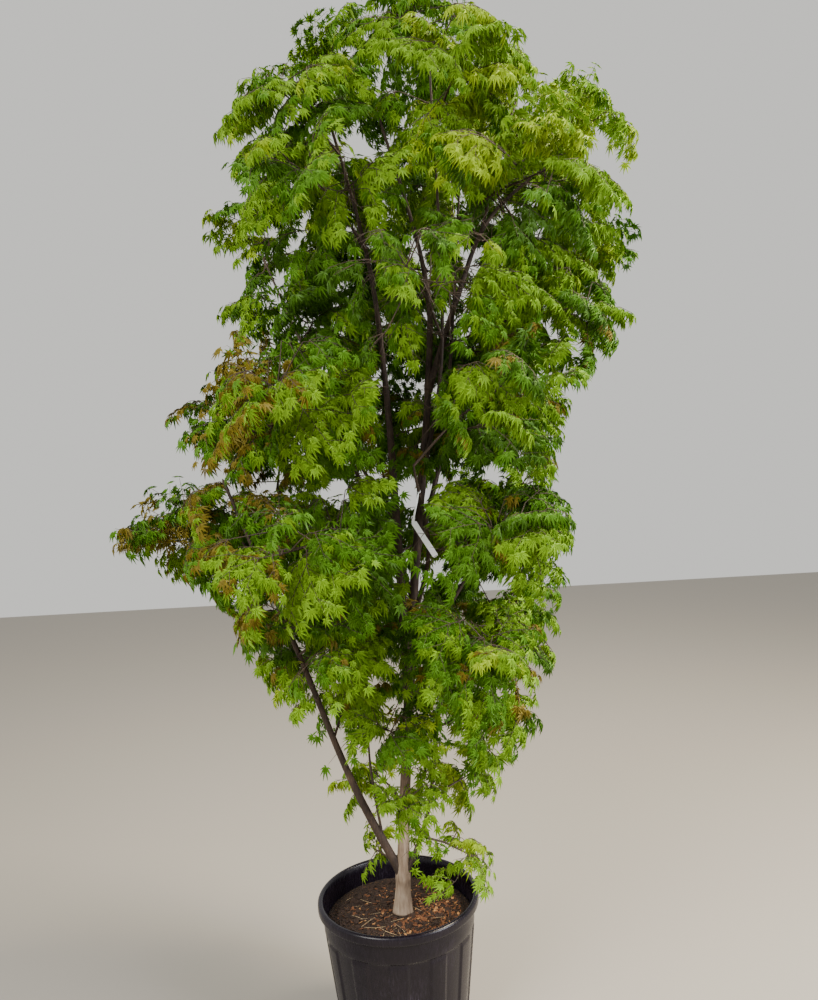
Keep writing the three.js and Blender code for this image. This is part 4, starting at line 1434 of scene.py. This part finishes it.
# A skin of bark for each limb
OLD_BARK_STEPS = [
    (0.0, "#2a1e17"), (0.14, "#46362a"), (0.3, "#6a5646"), (0.45, "#8b7662"), (0.58, "#a4907c"),
    (0.72, "#bcaa94")]
YOUNG_BARK_STEPS = [(0.3, "#1f1611"), (0.45, "#33261e"), (0.6, "#4b3a2e"), (0.75, "#6a5646")]
TWIG_BARK_STEPS = [(0.3, "#2c2118"), (0.5, "#46362a"), (0.7, "#63503f")]
FIRST_SKIN_SEED = 500
limbs = grow_limbs()
# The trunk's bark is painted darker from 0.47 m up, as painted shade under the crown
old_bark = smooth_bark("grey_maple_bark", OLD_BARK_STEPS, 1.0, shaded_from=0.47)
young_bark = smooth_bark("brown_maple_bark", YOUNG_BARK_STEPS, 0.6)
for number, (name, limb) in enumerate(limbs.items()):
    finish, slot = (old_bark, "bark") if name == "trunk" else (young_bark, "young_bark")
    points, faces = limb_skin(limb, name, FIRST_SKIN_SEED + number)
    skin = piece_from(f"{name}_bark", points, faces, finish)
    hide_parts(name)
    pieces.append(skin)

# What shows bare from the front, with the room round it: the blank label, the long low bough, the trunk
# over the pot, and stems high in the crown
LABEL_ROOM = 26
BARE_STRETCHES = (  # limb, from and up to a height, room
    ("bough_left_low", 450, 1130, 17), ("trunk", 330, 490, 17), ("trunk", 1630, 2250, 21),
    ("leader_left", 1640, 2450, 21), ("bough_right", 1800, 2330, 21))
IN_FRONT = 20  # a leaf counts as in front of a stretch up to so far behind its middle
label_path = label_line(limbs)
shown = [(at, LABEL_ROOM) for at, width, _ in label_path if width > LABEL_TAIL]
for name, low, high, room in BARE_STRETCHES:
    shown.extend((spot, room) for spot in limbs[name]["spots"] if low < spot[2] < high)
shown_spots = np.array([spot for spot, _ in shown])
shown_rooms = np.array([room for _, room in shown])


def hides_shown(at, tip):
    """Whether a leaf would lie between what shows bare and the side that it is seen from."""
    for end in (at, mix(at, tip, 0.5), tip):
        seen = EYE + (end - EYE) * ((shown_spots[:, 1] - EYE[1]) / (end[1] - EYE[1]))[:, None]
        gaps = np.abs(seen - shown_spots).max(axis=1)
        if ((gaps < shown_rooms) & (end[1] < shown_spots[:, 1] + IN_FRONT)).any():
            return True
    return False


def make_twigs(lines):
    """All stems, twigs and shoots as one piece."""
    points = []
    edges = []
    radii = []
    for line, ends in lines:
        for i, point in enumerate(line):
            if i:
                edges.append((len(points) - 1, len(points)))
            points.append(tuple(point * MM))
            radii.append(mix(*ends, i / (len(line) - 1)) * MM)
    mesh = bpy.data.meshes.new("twig_lines")
    mesh.from_pydata(points, edges, [])
    mesh.attributes.new("thickness", "FLOAT", "POINT").data.foreach_set("value", radii)
    finish = smooth_bark("twig_bark", TWIG_BARK_STEPS, 0.4)
    return grown_piece("twigs", mesh, twig_tree(), {"Sides": 3, "Finish": finish})


def scattered(name, items, tree, forms, form_length, finish):
    """One piece of the forms, set on their places."""
    inputs = {"Forms": forms, "Form Length": form_length, "Finish": finish}
    return grown_piece(name, points_mesh(name + "_places", items), tree, inputs)


# The twigs and leaves of all masses of foliage together, and the label
MASS_NODES = sorted(name for name in frame["nodes"] if name.startswith("foliage_"))
lines, leaves = grow_leaves(place_masses(), limbs, hides_shown)
pieces.append(make_label(label_path, label_plastic()))
twigs = make_twigs(lines)
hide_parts(*MASS_NODES)
pieces.append(twigs)

# A piece of leaves for each tint, or several where one would have too many faces
LEAVES_A_PIECE = 12500
scatter = scatter_tree()
leaf_forms = form_collection("leaf_form", [palmate_leaf(*form) for form in LEAF_FORMS])
for tint, items in leaves.items():
    code, slot, _ = LEAF_TINTS[tint]
    blade = leaf_blade(f"maple_leaf_{tint}", code)
    for start in range(0, len(items), LEAVES_A_PIECE):
        piece = scattered(
            f"leaves_{tint}_{start // LEAVES_A_PIECE + 1}", items[start:start + LEAVES_A_PIECE], scatter,
            leaf_forms, LEAF_LOBE * MM, blade)
        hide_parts(*MASS_NODES)
        pieces.append(piece)
    print(tint, len(items), "leaves")
clear_forms(leaf_forms)

# Litter on the soil
CHIPS = ((0.5, 0.12), (0.7, 0.1), (0.35, 0.16), (0.55, 0.2))  # width and height of a chip one unit long
STRAW_BOWS = (0.12, -0.2, 0.3)
chip_chance = Chance(77)
chip_forms = form_collection("chip_form", [chip_form(chip_chance, *section) for section in CHIPS])
straw_forms = form_collection("straw_form", [straw_form(bow) for bow in STRAW_BOWS])
# The brown and pale chips are partly the chips' own colours, partly painted sunlight: they gather on the
# right to paint that part of the soil sunlit. The straws gather at the front.
for name, forms, count, seed, size, tilt, towards, code in (  # size is from and to, tilt a slope
        ("dark_bark_chips", chip_forms, 520, 21, (7, 20), 0.45, None, "#35241a"),
        ("brown_bark_chips", chip_forms, 420, 22, (5, 15), 0.5, (80, -10), "#714629"),
        ("pale_bark_chips", chip_forms, 200, 23, (5, 12), 0.5, (95, 0), "#b5814f"),
        ("dry_straws", straw_forms, 24, 24, (24, 62), 0.2, (-5, -75), "#c9ad84")):
    places = litter_places(count, seed, size, len(forms.objects), tilt, towards)
    pieces.append(scattered(name, places, scatter, forms, MM, litter_finish(name, code)))
clear_forms(chip_forms)
clear_forms(straw_forms)

for piece in pieces:
    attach(piece, "root")
